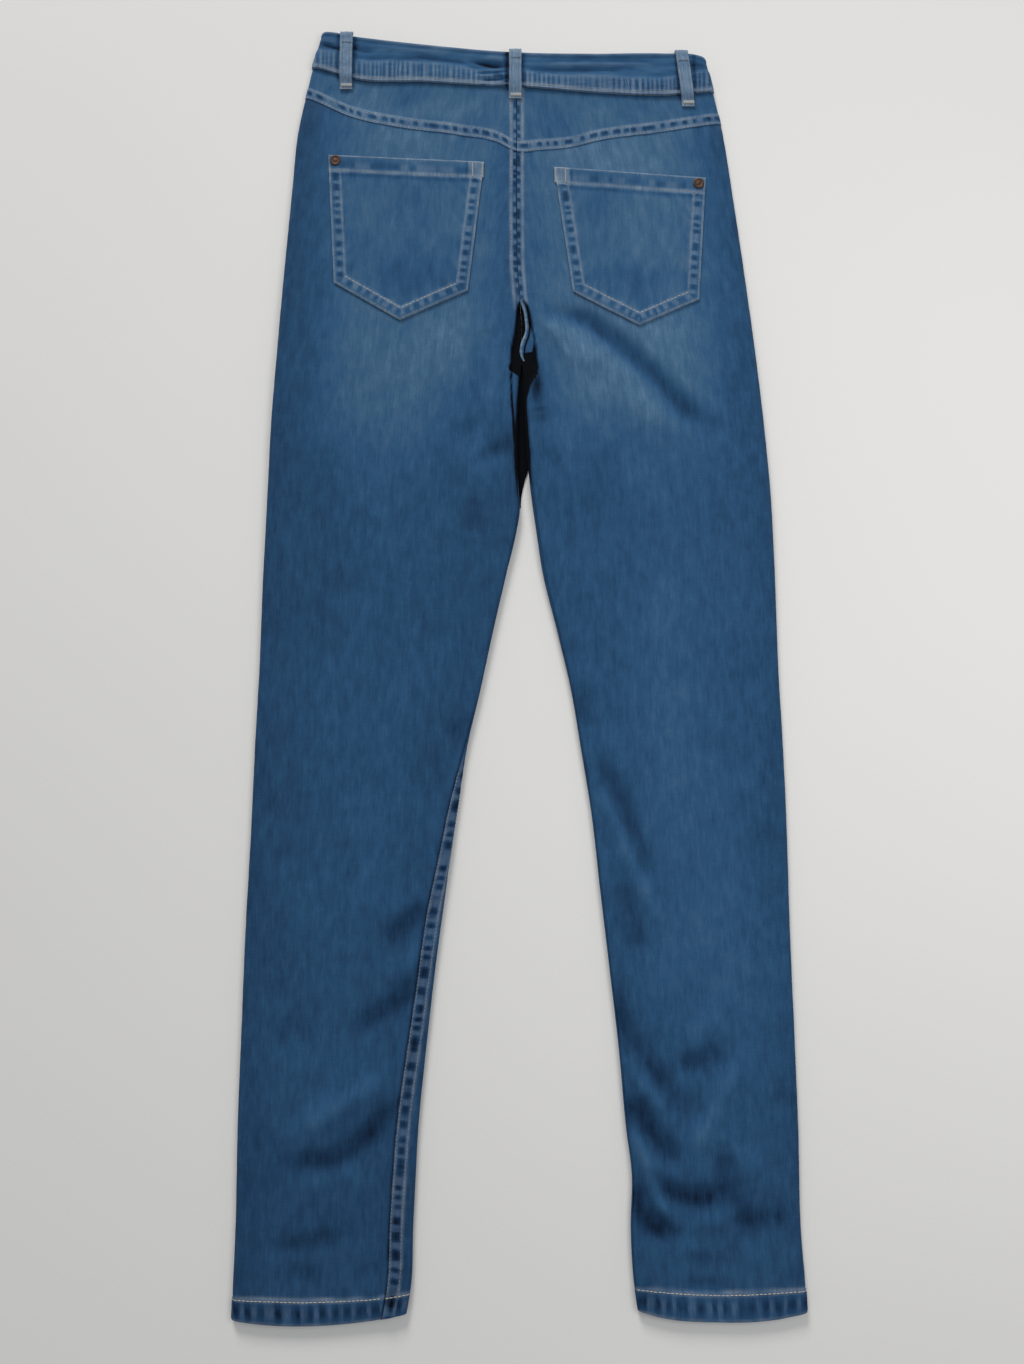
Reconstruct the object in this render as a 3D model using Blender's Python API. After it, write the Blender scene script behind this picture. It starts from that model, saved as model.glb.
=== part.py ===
"""Skinny jeans lying flat with their back up.

X runs across the jeans, Y from the hems to the waist and Z up from the surface they lie on, all in
metres. Left and right are the wearer's, so the left leg is at -X. Each half is a flattened tube: a
line over the top, from the side seam to the inner end, and a line back along the underside. The
inner end is the centre seam above the crotch and the inner edge of the leg below it.
"""

from collections import namedtuple

import bmesh
import bpy
import numpy as np

# Walls and seams
CLOTH = 0.0012
WAISTBAND_CLOTH = 0.0022
LOOP_CLOTH = 0.0016
GAP = 0.0003
SEAM_RAISE = 0.0005
HEM_EXTRA = 0.0006

# How the folded edges round off
EDGE_HEIGHT = 0.0024
EDGE_ROLL = 0.0045
UNDER_ROLL = 0.0030
ROLL_POWER = 2.5
FOLD_FADE = 0.012

# Waistband, loops and closing
WAISTBAND_TOP = 0.0068
WAISTBAND_GROW = 0.0004
FRONT_SEAM_DIP = 0.010
FRONT_EDGE_DIP = 0.003
FRONT_DIP_REACH = 0.166
FRONT_MIDDLE = -0.0055
RIM_ROUND = 0.0004
WAISTBAND_MIDDLE = 0.470
LOOP_WIDTH = 0.0105
LOOP_TAIL = 0.0110
LOOP_END = 0.0050
FLY_WIDTH = 0.036
FLY_LENGTH = 0.150
FLY_CURVE = 0.040
FLY_TIP = 0.004
FLY_TIP_SHARE = 0.92
CLOSING_X = 0.0060
BUTTON_RADIUS = 0.0085
BUTTON_UNDER_SHARE = 0.92
BUTTON_HEIGHT = 0.0017
BUTTON_INSET = 0.0160
BUTTON_DISH = 0.0020

# Seam bands, which fade out at one end
BAND_WIDTH = 0.0055
INSEAM_BAND_FROM = 0.0090
INSEAM_BAND_FADE = 0.0030
SEAT_BAND_END = 0.285
SEAT_BAND_FADE = 0.030

# Pocket rivets
RIVET_RADIUS = 0.0045
RIVET_TOP_SHARE = 0.72
RIVET_HEIGHT = 0.0011
RIVET_INSET = (0.0062, 0.0056)

# Where the body divides into two legs
CROTCH = 0.224

Edge = namedtuple("Edge", "y left right")
Height = namedtuple("Height", "y top")
Line = namedtuple("Line", "x y")
Roll = namedtuple("Roll", "y left right")
Shift = namedtuple("Shift", "y left right")
Turn = namedtuple("Turn", "y back front")
Fold = namedtuple("Fold", "side points width height")
Pocket = namedtuple("Pocket", "name side outer_top inner_top inner_low point outer_low")
Loop = namedtuple("Loop", "name x lean seam")
Bend = namedtuple("Bend", "place run level rise")

# Outermost edges of the body and legs
OUTER = [
    Edge(0.515, -0.1630, 0.1480),
    Edge(0.485, -0.1708, 0.1556),
    Edge(0.457, -0.1765, 0.1615),
    Edge(0.424, -0.1828, 0.1680),
    Edge(0.371, -0.1869, 0.1750),
    Edge(0.302, -0.1918, 0.1832),
    Edge(0.234, -0.1960, 0.1905),
    Edge(0.167, -0.1996, 0.1966),
    Edge(0.118, -0.2008, 0.2000),
    Edge(0.053, -0.2026, 0.2018),
    Edge(-0.026, -0.2038, 0.2026),
    Edge(-0.089, -0.2057, 0.2046),
    Edge(-0.150, -0.2070, 0.2057),
    Edge(-0.226, -0.2092, 0.2060),
    Edge(-0.300, -0.2103, 0.2072),
    Edge(-0.372, -0.2112, 0.2081),
    Edge(-0.443, -0.2108, 0.2080),
    Edge(-0.487, -0.2116, 0.2104),
    Edge(-0.512, -0.2118, 0.2112),
]

# Centre seam above the crotch, inner edges of the two legs below it
INNER = [
    Edge(0.515, -0.0020, -0.0020),
    Edge(0.330, -0.0020, -0.0020),
    Edge(0.305, -0.0018, -0.0018),
    Edge(0.268, 0.0010, 0.0010),
    Edge(0.240, 0.0020, 0.0020),
    Edge(0.224, 0.0020, 0.0020),
    Edge(0.212, 0.0006, 0.0036),
    Edge(0.195, -0.0004, 0.0042),
    Edge(0.170, -0.0010, 0.0055),
    Edge(0.145, -0.0012, 0.0070),
    Edge(0.118, -0.0006, 0.0090),
    Edge(0.101, 0.0003, 0.0108),
    Edge(0.085, -0.0021, 0.0131),
    Edge(0.053, -0.0096, 0.0178),
    Edge(0.005, -0.0205, 0.0293),
    Edge(-0.042, -0.0305, 0.0400),
    Edge(-0.089, -0.0412, 0.0476),
    Edge(-0.135, -0.0483, 0.0548),
    Edge(-0.196, -0.0564, 0.0614),
    Edge(-0.256, -0.0642, 0.0681),
    Edge(-0.314, -0.0705, 0.0744),
    Edge(-0.372, -0.0759, 0.0793),
    Edge(-0.403, -0.0774, 0.0830),
    Edge(-0.443, -0.0790, 0.0818),
    Edge(-0.480, -0.0799, 0.0836),
    Edge(-0.512, -0.0850, 0.0880),
]

# Height of the plain upper surface
HEIGHTS = [
    Height(0.515, 0.0048),
    Height(0.440, 0.0050),
    Height(0.224, 0.0088),
    Height(0.150, 0.0084),
    Height(0.050, 0.0068),
    Height(-0.100, 0.0058),
    Height(-0.512, 0.0056),
]

# How wide the top rounds down at the inner end
ROLLS = [
    Roll(0.515, 0.0060, 0.0060),
    Roll(0.270, 0.0065, 0.0100),
    Roll(0.235, 0.0080, 0.0120),
    Roll(0.212, 0.0080, 0.0115),
    Roll(0.190, 0.0065, 0.0080),
    Roll(0.150, 0.0045, 0.0048),
    Roll(0.100, 0.0042, 0.0042),
    Roll(-0.512, 0.0042, 0.0042),
]

# How far the inner end has turned down at the back and up at the front: 0 is flat and 1 is full
TURNS = [
    Turn(0.515, 0.0, 0.0),
    Turn(0.270, 0.0, 0.0),
    Turn(0.250, 0.75, 0.0),
    Turn(0.238, 1.0, 0.3),
    Turn(0.224, 1.0, 1.0),
    Turn(-0.512, 1.0, 1.0),
]

# How far the inseam lies up from the inner edge, over the top
SHIFTS = [
    Shift(0.224, 0.0, 0.0),
    Shift(0.190, 0.0022, 0.0022),
    Shift(-0.060, 0.0022, 0.0022),
    Shift(-0.095, 0.0048, 0.0022),
    Shift(-0.130, 0.0084, 0.0022),
    Shift(-0.170, 0.0110, 0.0022),
    Shift(-0.205, 0.0138, 0.0022),
    Shift(-0.275, 0.0150, 0.0022),
    Shift(-0.355, 0.0178, 0.0022),
    Shift(-0.420, 0.0192, 0.0022),
    Shift(-0.512, 0.0196, 0.0022),
]

# Seam lines and edges that run across
WAIST_SEAM = [
    Line(-0.177, 0.479),
    Line(-0.168, 0.4772),
    Line(-0.137, 0.4676),
    Line(-0.074, 0.4648),
    Line(-0.038, 0.4622),
    Line(0.0, 0.4608),
    Line(0.066, 0.4552),
    Line(0.130, 0.4534),
    Line(0.160, 0.4565),
]
WAIST_EDGE = [
    Line(-0.177, 0.5045),
    Line(-0.164, 0.5085),
    Line(-0.137, 0.5045),
    Line(-0.074, 0.4968),
    Line(-0.008, 0.4907),
    Line(0.060, 0.4892),
    Line(0.120, 0.4894),
    Line(0.148, 0.4880),
    Line(0.160, 0.4838),
]
FRONT_SEAM = [Line(-0.1720, 0.4779), Line(0.1610, 0.4567)]
FRONT_EDGE = [Line(-0.1662, 0.5080), Line(0.1565, 0.4851)]
YOKE_SEAM = [
    Line(-0.190, 0.4550),
    Line(-0.175, 0.4505),
    Line(-0.138, 0.4338),
    Line(-0.096, 0.4243),
    Line(-0.050, 0.4180),
    Line(-0.018, 0.4118),
    Line(-0.002, 0.4035),
    Line(0.015, 0.4045),
    Line(0.042, 0.4070),
    Line(0.066, 0.4132),
    Line(0.112, 0.4198),
    Line(0.165, 0.4278),
    Line(0.180, 0.4290),
]
HEM_LEFT = [
    Line(-0.213, -0.5055),
    Line(-0.190, -0.5085),
    Line(-0.150, -0.5095),
    Line(-0.110, -0.5060),
    Line(-0.079, -0.5005),
]
HEM_RIGHT = [
    Line(0.080, -0.4970),
    Line(0.100, -0.5030),
    Line(0.146, -0.5070),
    Line(0.185, -0.5055),
    Line(0.212, -0.5005),
]

# Largest folds: a trough has a height below zero and a ridge one above it
FOLDS = [
    Fold("right", [(0.028, 0.262), (0.081, 0.237), (0.155, 0.168)], 0.0080, -0.0030),
    Fold("right", [(0.023, 0.252), (0.047, 0.235), (0.070, 0.211)], 0.0100, 0.0024),
    Fold("right", [(0.053, -0.102), (0.075, -0.123), (0.103, -0.198)], 0.0080, -0.0018),
    Fold("right", [(0.060, -0.111), (0.082, -0.159), (0.106, -0.213)], 0.0085, 0.0026),
    Fold("right", [(0.078, -0.188), (0.092, -0.245)], 0.0085, -0.0014),
    Fold("right", [(0.075, -0.289), (0.092, -0.315), (0.112, -0.340)], 0.0085, -0.0018),
    Fold("right", [(0.123, -0.319), (0.149, -0.311)], 0.0080, -0.0012),
    Fold("right", [(0.081, -0.347), (0.099, -0.371), (0.117, -0.388)], 0.0085, -0.0018),
    Fold("right", [(0.104, -0.410), (0.125, -0.416), (0.146, -0.416)], 0.0085, -0.0022),
    Fold("right", [(0.146, -0.416), (0.152, -0.388)], 0.0080, -0.0010),
    Fold("right", [(0.086, -0.419), (0.110, -0.441)], 0.0075, -0.0013),
    Fold("right", [(0.096, -0.398), (0.150, -0.402)], 0.0100, 0.0014),
    Fold("left", [(-0.025, 0.146), (-0.004, 0.157)], 0.0080, -0.0015),
    Fold("left", [(-0.104, -0.232), (-0.073, -0.211)], 0.0085, -0.0014),
    Fold("left", [(-0.108, -0.282), (-0.075, -0.259)], 0.0090, -0.0017),
    Fold("left", [(-0.174, -0.392), (-0.137, -0.390), (-0.093, -0.351)], 0.0085, -0.0022),
    Fold("left", [(-0.165, -0.374), (-0.103, -0.334)], 0.0100, 0.0018),
    Fold("left", [(-0.146, -0.448), (-0.132, -0.441)], 0.0080, -0.0012),
]

POCKETS = [
    Pocket(
        "pocket_left",
        "left",
        (-0.1571, 0.3998),
        (-0.0289, 0.3936),
        (-0.0416, 0.2819),
        (-0.0963, 0.2565),
        (-0.1502, 0.2887),
    ),
    Pocket(
        "pocket_right",
        "right",
        (0.1530, 0.3797),
        (0.0285, 0.3893),
        (0.0434, 0.2810),
        (0.0965, 0.2523),
        (0.1453, 0.2743),
    ),
]

LOOPS = [
    Loop("loop_back_left", -0.1436, 0.0, 0.0),
    Loop("loop_back_center", -0.0032, 0.0, SEAM_RAISE),
    Loop("loop_back_right", 0.1388, -0.0040, 0.0),
]

# The loop's line from its end at the waist edge to its tail: how far each bend lies above a place
# on the back, and how high over a level
LOOP_BENDS = [
    Bend("edge", 0.0013, "end", 0.0),
    Bend("edge", 0.0013, "band", -0.0006),
    Bend("edge", 0.0005, "band", 0.0),
    Bend("edge", -0.0045, "band", 0.0003),
    Bend("middle", 0.0, "band", 0.0010),
    Bend("seam", 0.0040, "band", 0.0005),
    Bend("seam", -0.0020, "band", 0.0001),
    Bend("seam", -0.0050, "yoke", 0.0002),
    Bend("seam", -LOOP_TAIL, "yoke", 0.0),
]

# Rows of each panel, from its top to its bottom
LEG_STEPS = [
    (0.285, 0.185, 9),
    (0.185, -0.075, 8),
    (-0.075, -0.450, 19),
    (-0.450, -0.4905, 3),
]
BACK_ROW_STEPS = [(0.415, 0.285, 6), *LEG_STEPS]
FRONT_ROW_STEPS = [(0.445, 0.285, 5), *LEG_STEPS]
ROWS_TOP = 0.415
ROWS_BOTTOM = -0.506
STRAIGHT_FROM = 0.350
STRAIGHT_TO = -0.440
HEM_STEP = 0.0012

# Columns: distances from the two ends of a panel's line, with even steps between them
OUTER_STOPS = np.array([0.0, 0.0018, 0.0042, 0.0075, 0.0125])
INNER_STOPS = np.array([0.0, 0.0025, BAND_WIDTH, 0.0068, 0.0125])
INSEAM_STOPS = np.array([0.0, 0.3, 0.58, 0.65, 1.0])
INSEAM_SHIFT = 0.0022
BACK_STEPS = 8
FRONT_STEPS = 4
YOKE_SHARES = np.array([1.0, 0.66, 0.31, 0.25, 0.12, 0.0])
YOKE_BAND_SHARE = 0.28
DIRECTION_STEP = 0.00015

# Waistband columns on the underside, from the closing, and rows from its edge to its seam
DISH_STOPS = np.array([0.0, 0.0025, 0.0065, 0.0255, 0.0295])
BAND_STEPS = 4
BAND_SHARES = np.array([1.0, 0.93, 0.8, 0.5, 0.2, 0.0])
DISH_SHARES = (0.15, 0.85)

# Pocket columns from its outer side, with its point's column in the middle, and rows from its top
POCKET_SIDE_SHARES = (0.0, 0.072, 0.087, 0.28)
POCKET_ROW_SHARES = (0.0, 0.113, 0.124, 0.40, 0.68, 0.905, 0.918, 1.0)
POCKET_HEM_SHARE = 0.118
POCKET_RIM_SHARE = 0.08

DENIM = (58, 90, 119)
DENIM_DARK = (37, 71, 104)
DENIM_BAND = (63, 91, 118)
DENIM_LIGHT = (97, 114, 131)
COPPER = (120, 88, 66)
METAL = (150, 140, 128)


def along(rows, column, at):
    """Read a smooth curve through one column of a table."""
    rows = sorted(rows)
    place = np.array([row[0] for row in rows])
    value = np.array([getattr(row, column) for row in rows])
    slope = np.gradient(value, place)
    at = np.clip(at, place[0], place[-1])
    low = np.clip(np.searchsorted(place, at) - 1, 0, len(place) - 2)
    step = place[low + 1] - place[low]
    t = (at - place[low]) / step
    return (
        value[low] * (2 * t**3 - 3 * t**2 + 1)
        + slope[low] * step * (t**3 - 2 * t**2 + t)
        + value[low + 1] * (3 * t**2 - 2 * t**3)
        + slope[low + 1] * step * (t**3 - t**2)
    )


def straight(rows, column, at):
    """Read a table by straight lines between its rows."""
    rows = sorted(rows)
    place = [row[0] for row in rows]
    value = [getattr(row, column) for row in rows]
    return np.interp(at, place, value)


def inward(side):
    """Sign of X from the side seam towards the middle."""
    return 1.0 if side == "left" else -1.0


def distance_to(points, x, y):
    """Distance from each place to a fold's line, in plan."""
    nearest = np.full(np.shape(x), np.inf)
    for (ax, ay), (bx, by) in zip(points, points[1:]):
        run_x = bx - ax
        run_y = by - ay
        share = ((x - ax) * run_x + (y - ay) * run_y) / (run_x**2 + run_y**2)
        share = np.clip(share, 0, 1)
        nearest = np.minimum(nearest, np.hypot(x - ax - share * run_x, y - ay - share * run_y))
    return nearest


def fold_height(side, x, y):
    """How far the folds lift the upper surface."""
    lift = np.zeros(np.shape(x))
    for fold in FOLDS:
        if fold.side == side:
            lift += fold.height * np.exp(-((distance_to(fold.points, x, y) / fold.width) ** 2))
    return lift


def top_line(side, y, top=None, grow=0.0):
    """Outer line from the side seam over the top to the inner end, as X and Z."""
    turn = inward(side)
    outer = along(OUTER, side, y) - turn * grow
    inner = along(INNER, side, y) - turn * GAP / 2
    roll = straight(ROLLS, side, y)
    turned = straight(TURNS, "back", y)
    plain = straight(HEIGHTS, "top", y) if top is None else top

    outer_angle = np.linspace(0, np.pi / 2, 13)[:-1]
    inner_angle = np.linspace(0, np.pi / 2, 17)
    across = np.sin(inner_angle) ** (2 / ROLL_POWER)
    down = 1 - np.abs(np.cos(inner_angle)) ** (2 / ROLL_POWER)
    flat = np.linspace(outer + turn * EDGE_ROLL, inner - turn * roll, 81)[:-1]
    x = np.concatenate(
        [
            outer + turn * EDGE_ROLL * (1 - np.cos(outer_angle)),
            flat,
            inner - turn * roll * (1 - across),
        ]
    )
    share = np.concatenate([np.sin(outer_angle), np.ones(len(flat)), 1 - turned * down])
    inside = np.clip(np.minimum(np.abs(x - outer), np.abs(x - inner)) / FOLD_FADE, 0, 1)
    lift = fold_height(side, x, y) * inside if top is None else 0.0
    return x, EDGE_HEIGHT + (plain + lift - EDGE_HEIGHT) * share


def front_dip(x):
    """How far below a straight line the front waist lies, as a share of the dip."""
    return np.clip(1 - ((x - FRONT_MIDDLE) / FRONT_DIP_REACH) ** 2, 0, 1)


def front_seam(x):
    """Waist seam at the front, which meets the back one at the sides."""
    return straight(FRONT_SEAM, "y", x) - FRONT_SEAM_DIP * front_dip(x)


def front_edge(x):
    """Waist edge at the front."""
    return straight(FRONT_EDGE, "y", x) - FRONT_EDGE_DIP * front_dip(x)


def fly_width(y):
    """How far the fly's curved edge lies from the centre front."""
    below = (front_seam(0.0) - y) - (FLY_LENGTH - FLY_CURVE)
    bend = np.clip(below / FLY_CURVE, 0, 1)
    return FLY_WIDTH * np.sqrt(1 - bend**2)


def under_line(side, y, inner_shift=0.0, grow=0.0):
    """Outer line from the inner end along the underside to the side seam, as X and Z."""
    turn = inward(side)
    outer = along(OUTER, side, y) - turn * grow
    inner = along(INNER, side, y) - turn * GAP / 2 - turn * inner_shift
    turned = straight(TURNS, "front", y)
    angle = np.linspace(0, np.pi / 2, 13)
    flat = np.linspace(inner - turn * UNDER_ROLL, outer + turn * UNDER_ROLL, 41)[1:-1]
    x = np.concatenate(
        [
            inner - turn * UNDER_ROLL * (1 - np.cos(angle)),
            flat,
            outer + turn * UNDER_ROLL * (1 - np.cos(angle[::-1])),
        ]
    )
    z = np.concatenate(
        [
            EDGE_HEIGHT * turned * (1 - np.sin(angle)),
            np.zeros(len(flat)),
            EDGE_HEIGHT * (1 - np.sin(angle[::-1])),
        ]
    )
    return x, z


def stretch(x, z):
    """Distance run along a line, at each of its points."""
    return np.concatenate([[0], np.cumsum(np.hypot(np.diff(x), np.diff(z)))])


def read_line(x, z, stops):
    """Points of a line at the distances given, with the line's direction at each."""
    run = stretch(x, z)
    before = np.clip(stops - DIRECTION_STEP, 0, run[-1])
    after = np.clip(stops + DIRECTION_STEP, 0, run[-1])
    over_x = np.interp(after, run, x) - np.interp(before, run, x)
    over_z = np.interp(after, run, z) - np.interp(before, run, z)
    return np.stack([np.interp(stops, run, x), np.interp(stops, run, z), over_x, over_z])


def even_stops(first, last, steps):
    """Stops with even steps between the two end groups."""
    return np.concatenate([first, np.linspace(first[-1], last[0], steps + 1)[1:-1], last])


def back_columns(side, y):
    """Points across a back panel, from the side seam to its inner end."""
    x, z = top_line(side, y)
    total = stretch(x, z)[-1]
    end = total - along(SHIFTS, side, min(y, CROTCH)) - GAP / 2
    stops = even_stops(GAP / 2 + OUTER_STOPS, end - INNER_STOPS[::-1], BACK_STEPS)
    return read_line(x, z, stops)


def front_columns(side, y):
    """Points across a front panel, from its inner end to the side seam."""
    shift = along(SHIFTS, side, min(y, CROTCH))
    fly = fly_width(y) if side == "left" and y > CROTCH else 0.0
    x, z = under_line(side, y, fly)
    if y < CROTCH:
        over_x, over_z = top_line(side, y)
        run = stretch(over_x, over_z)
        part = np.linspace(run[-1] - shift, run[-1], 13)[:-1]
        x = np.concatenate([np.interp(part, run, over_x), x])
        z = np.concatenate([np.interp(part, run, over_z), z])
    total = stretch(x, z)[-1]
    edge = max(shift, INSEAM_SHIFT)
    first = GAP / 2 + np.concatenate([edge * INSEAM_STOPS, edge + OUTER_STOPS[1:3]])
    last = total - GAP / 2 - OUTER_STOPS[:3][::-1]
    return read_line(x, z, even_stops(first, last, FRONT_STEPS))


def bent_rows(columns, bases, bend, first=None):
    """Rows of points whose Y follows a bend that depends on X, and their directions across."""
    points = []
    directions = []
    for base in bases:
        row = columns(base if first is None else first)
        place = bend(base, row[0])
        for _ in range(4):
            if np.ptp(place) < 1e-7:
                row = columns(place[0])
                break
            row = np.array([columns(y)[:, index] for index, y in enumerate(place)]).T
            place = bend(base, row[0])
        points.append(np.stack([row[0], place, row[1]], axis=1))
        directions.append(np.stack([row[2], np.zeros(len(place)), row[3]], axis=1))
    return np.array(points), np.array(directions)


def row_places(steps, bottom):
    """Even rows in each stretch of a table of steps, with a hem band at the end."""
    places = [steps[0][0]]
    for start, end, count in steps:
        places += list(np.linspace(start, end, count + 1)[1:])
    return places + [steps[-1][1] - HEM_STEP, (steps[-1][1] + bottom) / 2, bottom]


def hem_line(side):
    return HEM_LEFT if side == "left" else HEM_RIGHT


def hem_bend(side, base, x):
    weight = np.clip((STRAIGHT_TO - base) / (STRAIGHT_TO - ROWS_BOTTOM), 0, 1)
    return weight * (along(hem_line(side), "y", x) - ROWS_BOTTOM)


def outward(points, over):
    """Unit normals of a grid of points, from its rows and the directions across."""
    down = np.gradient(points, axis=0)
    normal = np.cross(down, over)
    return normal / np.linalg.norm(normal, axis=2, keepdims=True)


def material(name, colour, roughness=0.85, metallic=0.0):
    share = np.array(colour) / 255
    linear = np.where(share <= 0.04045, share / 12.92, ((share + 0.055) / 1.055) ** 2.4)
    made = bpy.data.materials.new(name)
    made.use_nodes = True
    shader = made.node_tree.nodes["Principled BSDF"]
    shader.inputs["Base Color"].default_value = (*[float(part) for part in linear], 1)
    shader.inputs["Roughness"].default_value = roughness
    shader.inputs["Metallic"].default_value = metallic
    return made


def add_object(name, mesh, colour, roughness=0.85, metallic=0.0):
    made = bpy.data.objects.new(name, mesh)
    made.data.materials.append(material(name, colour, roughness, metallic))
    bpy.context.scene.collection.objects.link(made)
    return made


def wall(name, outer, inner, colour, flip=False):
    """Close the space between two grids of the same layout into one solid."""
    rows, columns = outer.shape[:2]
    index = np.arange(rows * columns).reshape(rows, columns)
    under = index + rows * columns
    faces = []
    for row in range(rows - 1):
        for column in range(columns - 1):
            a, b = index[row, column], index[row + 1, column]
            c, d = index[row + 1, column + 1], index[row, column + 1]
            faces.append((a, b, c, d))
            faces.append(tuple(under.flat[each] for each in (d, c, b, a)))
    loop = list(index[:, 0]) + list(index[-1, 1:]) + list(index[-2::-1, -1]) + list(index[0, -2:0:-1])
    for here, there in zip(loop, loop[1:] + loop[:1]):
        faces.append((here, under.flat[here], under.flat[there], there))
    if flip:
        faces = [face[::-1] for face in faces]
    points = np.concatenate([outer.reshape(-1, 3), inner.reshape(-1, 3)])
    mesh = bpy.data.meshes.new(name)
    mesh.from_pydata(points.tolist(), [], [[int(each) for each in face] for face in faces])
    mesh.update()
    mesh.shade_smooth()
    mesh.set_sharp_from_angle(angle=np.radians(40))
    return add_object(name, mesh, colour)


def cloth_panel(name, side, grid, raised, thickness, colour):
    """A wall under a grid of points, with the raised bands on its outer face."""
    points, over = grid
    normal = outward(points, over) * inward(side)
    top = points + normal * raised[..., None]
    under = points - normal * thickness[..., None]
    return wall(name, top, under, colour, flip=side == "right")


def seat_raise(points):
    """Raised band beside the centre back seam, fading out towards the crotch."""
    raised = np.zeros(points.shape[:2])
    fade = np.clip((points[:, -1, 1] - SEAT_BAND_END) / SEAT_BAND_FADE, 0, 1)
    raised[:, -3:] = SEAM_RAISE * fade[:, None]
    return raised


def build_back(side):
    def bend(base, x):
        weight = np.clip((base - STRAIGHT_FROM) / (ROWS_TOP - STRAIGHT_FROM), 0, 1)
        seam = along(YOKE_SEAM, "y", x) - GAP / 2 - ROWS_TOP
        return base + weight * seam + hem_bend(side, base, x)

    grid = bent_rows(lambda y: back_columns(side, y), row_places(BACK_ROW_STEPS, ROWS_BOTTOM), bend)
    raised = seat_raise(grid[0])
    raised[-3:] = HEM_EXTRA
    thickness = np.full(raised.shape, CLOTH)
    cloth_panel("back_leg_" + side, side, grid, raised, thickness, DENIM_DARK)


def build_front(side):
    rows_top = FRONT_ROW_STEPS[0][0]

    def bend(base, x):
        weight = np.clip((base - STRAIGHT_FROM) / (rows_top - STRAIGHT_FROM), 0, 1)
        seam = front_seam(x) - GAP - rows_top
        return base + weight * seam + hem_bend(side, base, x)

    places = row_places(FRONT_ROW_STEPS, ROWS_BOTTOM)
    grid = bent_rows(lambda y: front_columns(side, y), places, bend)
    shift = along(SHIFTS, side, np.minimum(grid[0][:, 0, 1], CROTCH))
    raised = np.zeros(grid[0].shape[:2])
    fade = np.clip((shift - INSEAM_BAND_FROM) / INSEAM_BAND_FADE, 0, 1)
    raised[:, :3] = SEAM_RAISE * fade[:, None]
    thickness = np.full(raised.shape, CLOTH)
    thickness[-3:] = CLOTH + HEM_EXTRA
    cloth_panel("front_leg_" + side, side, grid, raised, thickness, DENIM_DARK)
    if side == "left":
        build_fly(grid[0][:, 0])


def build_yoke(side):
    def bend(share, x):
        low = along(YOKE_SEAM, "y", x) + GAP / 2
        high = along(WAIST_SEAM, "y", x) - GAP / 2
        return low + (high - low) * share

    grid = bent_rows(lambda y: back_columns(side, y), YOKE_SHARES, bend, first=ROWS_TOP)
    raised = seat_raise(grid[0])
    raised[YOKE_SHARES < YOKE_BAND_SHARE] = SEAM_RAISE
    thickness = np.full(raised.shape, CLOTH)
    cloth_panel("yoke_" + side, side, grid, raised, thickness, DENIM)


def build_fly(edge):
    """A flat strip between the left front's curved edge and the centre front."""
    width = along(INNER, "left", edge[:, 1]) - edge[:, 0]
    wide = edge[(width > FLY_TIP) & (edge[:, 1] > CROTCH)]
    after = edge[len(wide)]
    tip = wide[-1] + (after - wide[-1]) * FLY_TIP_SHARE
    left = np.vstack([wide, tip]) + np.array([GAP, 0, 0])
    right = left.copy()
    right[:, 0] = along(INNER, "left", left[:, 1])
    right[0, 1] = front_seam(right[0, 0]) - GAP
    outer = np.stack([right, left], axis=1)
    wall("fly", outer, outer + np.array([0, 0, CLOTH]), DENIM_DARK)


def waistband_columns(y):
    """The band's whole line: from the closing under to the left, over the top and back."""
    shift = along(INNER, "left", y) - CLOSING_X
    parts = [
        under_line("left", y, shift, WAISTBAND_GROW),
        top_line("left", y, WAISTBAND_TOP, WAISTBAND_GROW),
        [each[::-1] for each in top_line("right", y, WAISTBAND_TOP, WAISTBAND_GROW)],
        [each[::-1] for each in under_line("right", y, -shift, WAISTBAND_GROW)],
    ]
    x = np.concatenate([part[0] for part in parts])
    z = np.concatenate([part[1] for part in parts])
    run = stretch(x, z)
    ends = np.cumsum([len(part[0]) for part in parts]) - 1
    left, middle, right, last = run[ends]
    half_left = even_stops(left + OUTER_STOPS, middle - INNER_STOPS[::-1], BACK_STEPS)
    half_right = even_stops(middle + INNER_STOPS, right - OUTER_STOPS[::-1], BACK_STEPS)
    under_left = even_stops(DISH_STOPS, left - OUTER_STOPS[2:0:-1], BAND_STEPS)
    under_right = even_stops(right + OUTER_STOPS[1:3], np.array([last]), BAND_STEPS)
    stops = np.concatenate([under_left, half_left[:-1], half_right, under_right])
    over = np.zeros(len(stops))
    over[len(under_left) : -len(under_right)] = 1
    return np.vstack([read_line(x, z, stops), over])


def build_waistband():
    """One wall all round the waist, with a dish under it for the button."""
    over = waistband_columns(WAISTBAND_MIDDLE)[4] > 0

    def bend(share, x):
        low = np.where(over, along(WAIST_SEAM, "y", x), front_seam(x)) + GAP / 2
        high = np.where(over, along(WAIST_EDGE, "y", x), front_edge(x))
        return low + (high - low) * share

    points, direction = bent_rows(waistband_columns, BAND_SHARES, bend, first=WAISTBAND_MIDDLE)
    inside = (BAND_SHARES > DISH_SHARES[0]) & (BAND_SHARES < DISH_SHARES[1])
    points[inside, 2:4, 2] += BUTTON_DISH
    beside_dish = len(DISH_STOPS) + 1
    direction[:, :beside_dish] = np.gradient(points, axis=1)[:, :beside_dish]
    raised = np.zeros(points.shape[:2])
    raised[0, over] = -RIM_ROUND
    thickness = np.full(raised.shape, WAISTBAND_CLOTH)
    cloth_panel("waistband", "left", (points, direction), raised, thickness, DENIM_BAND)


def body_top(y):
    return straight(HEIGHTS, "top", y)


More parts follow.
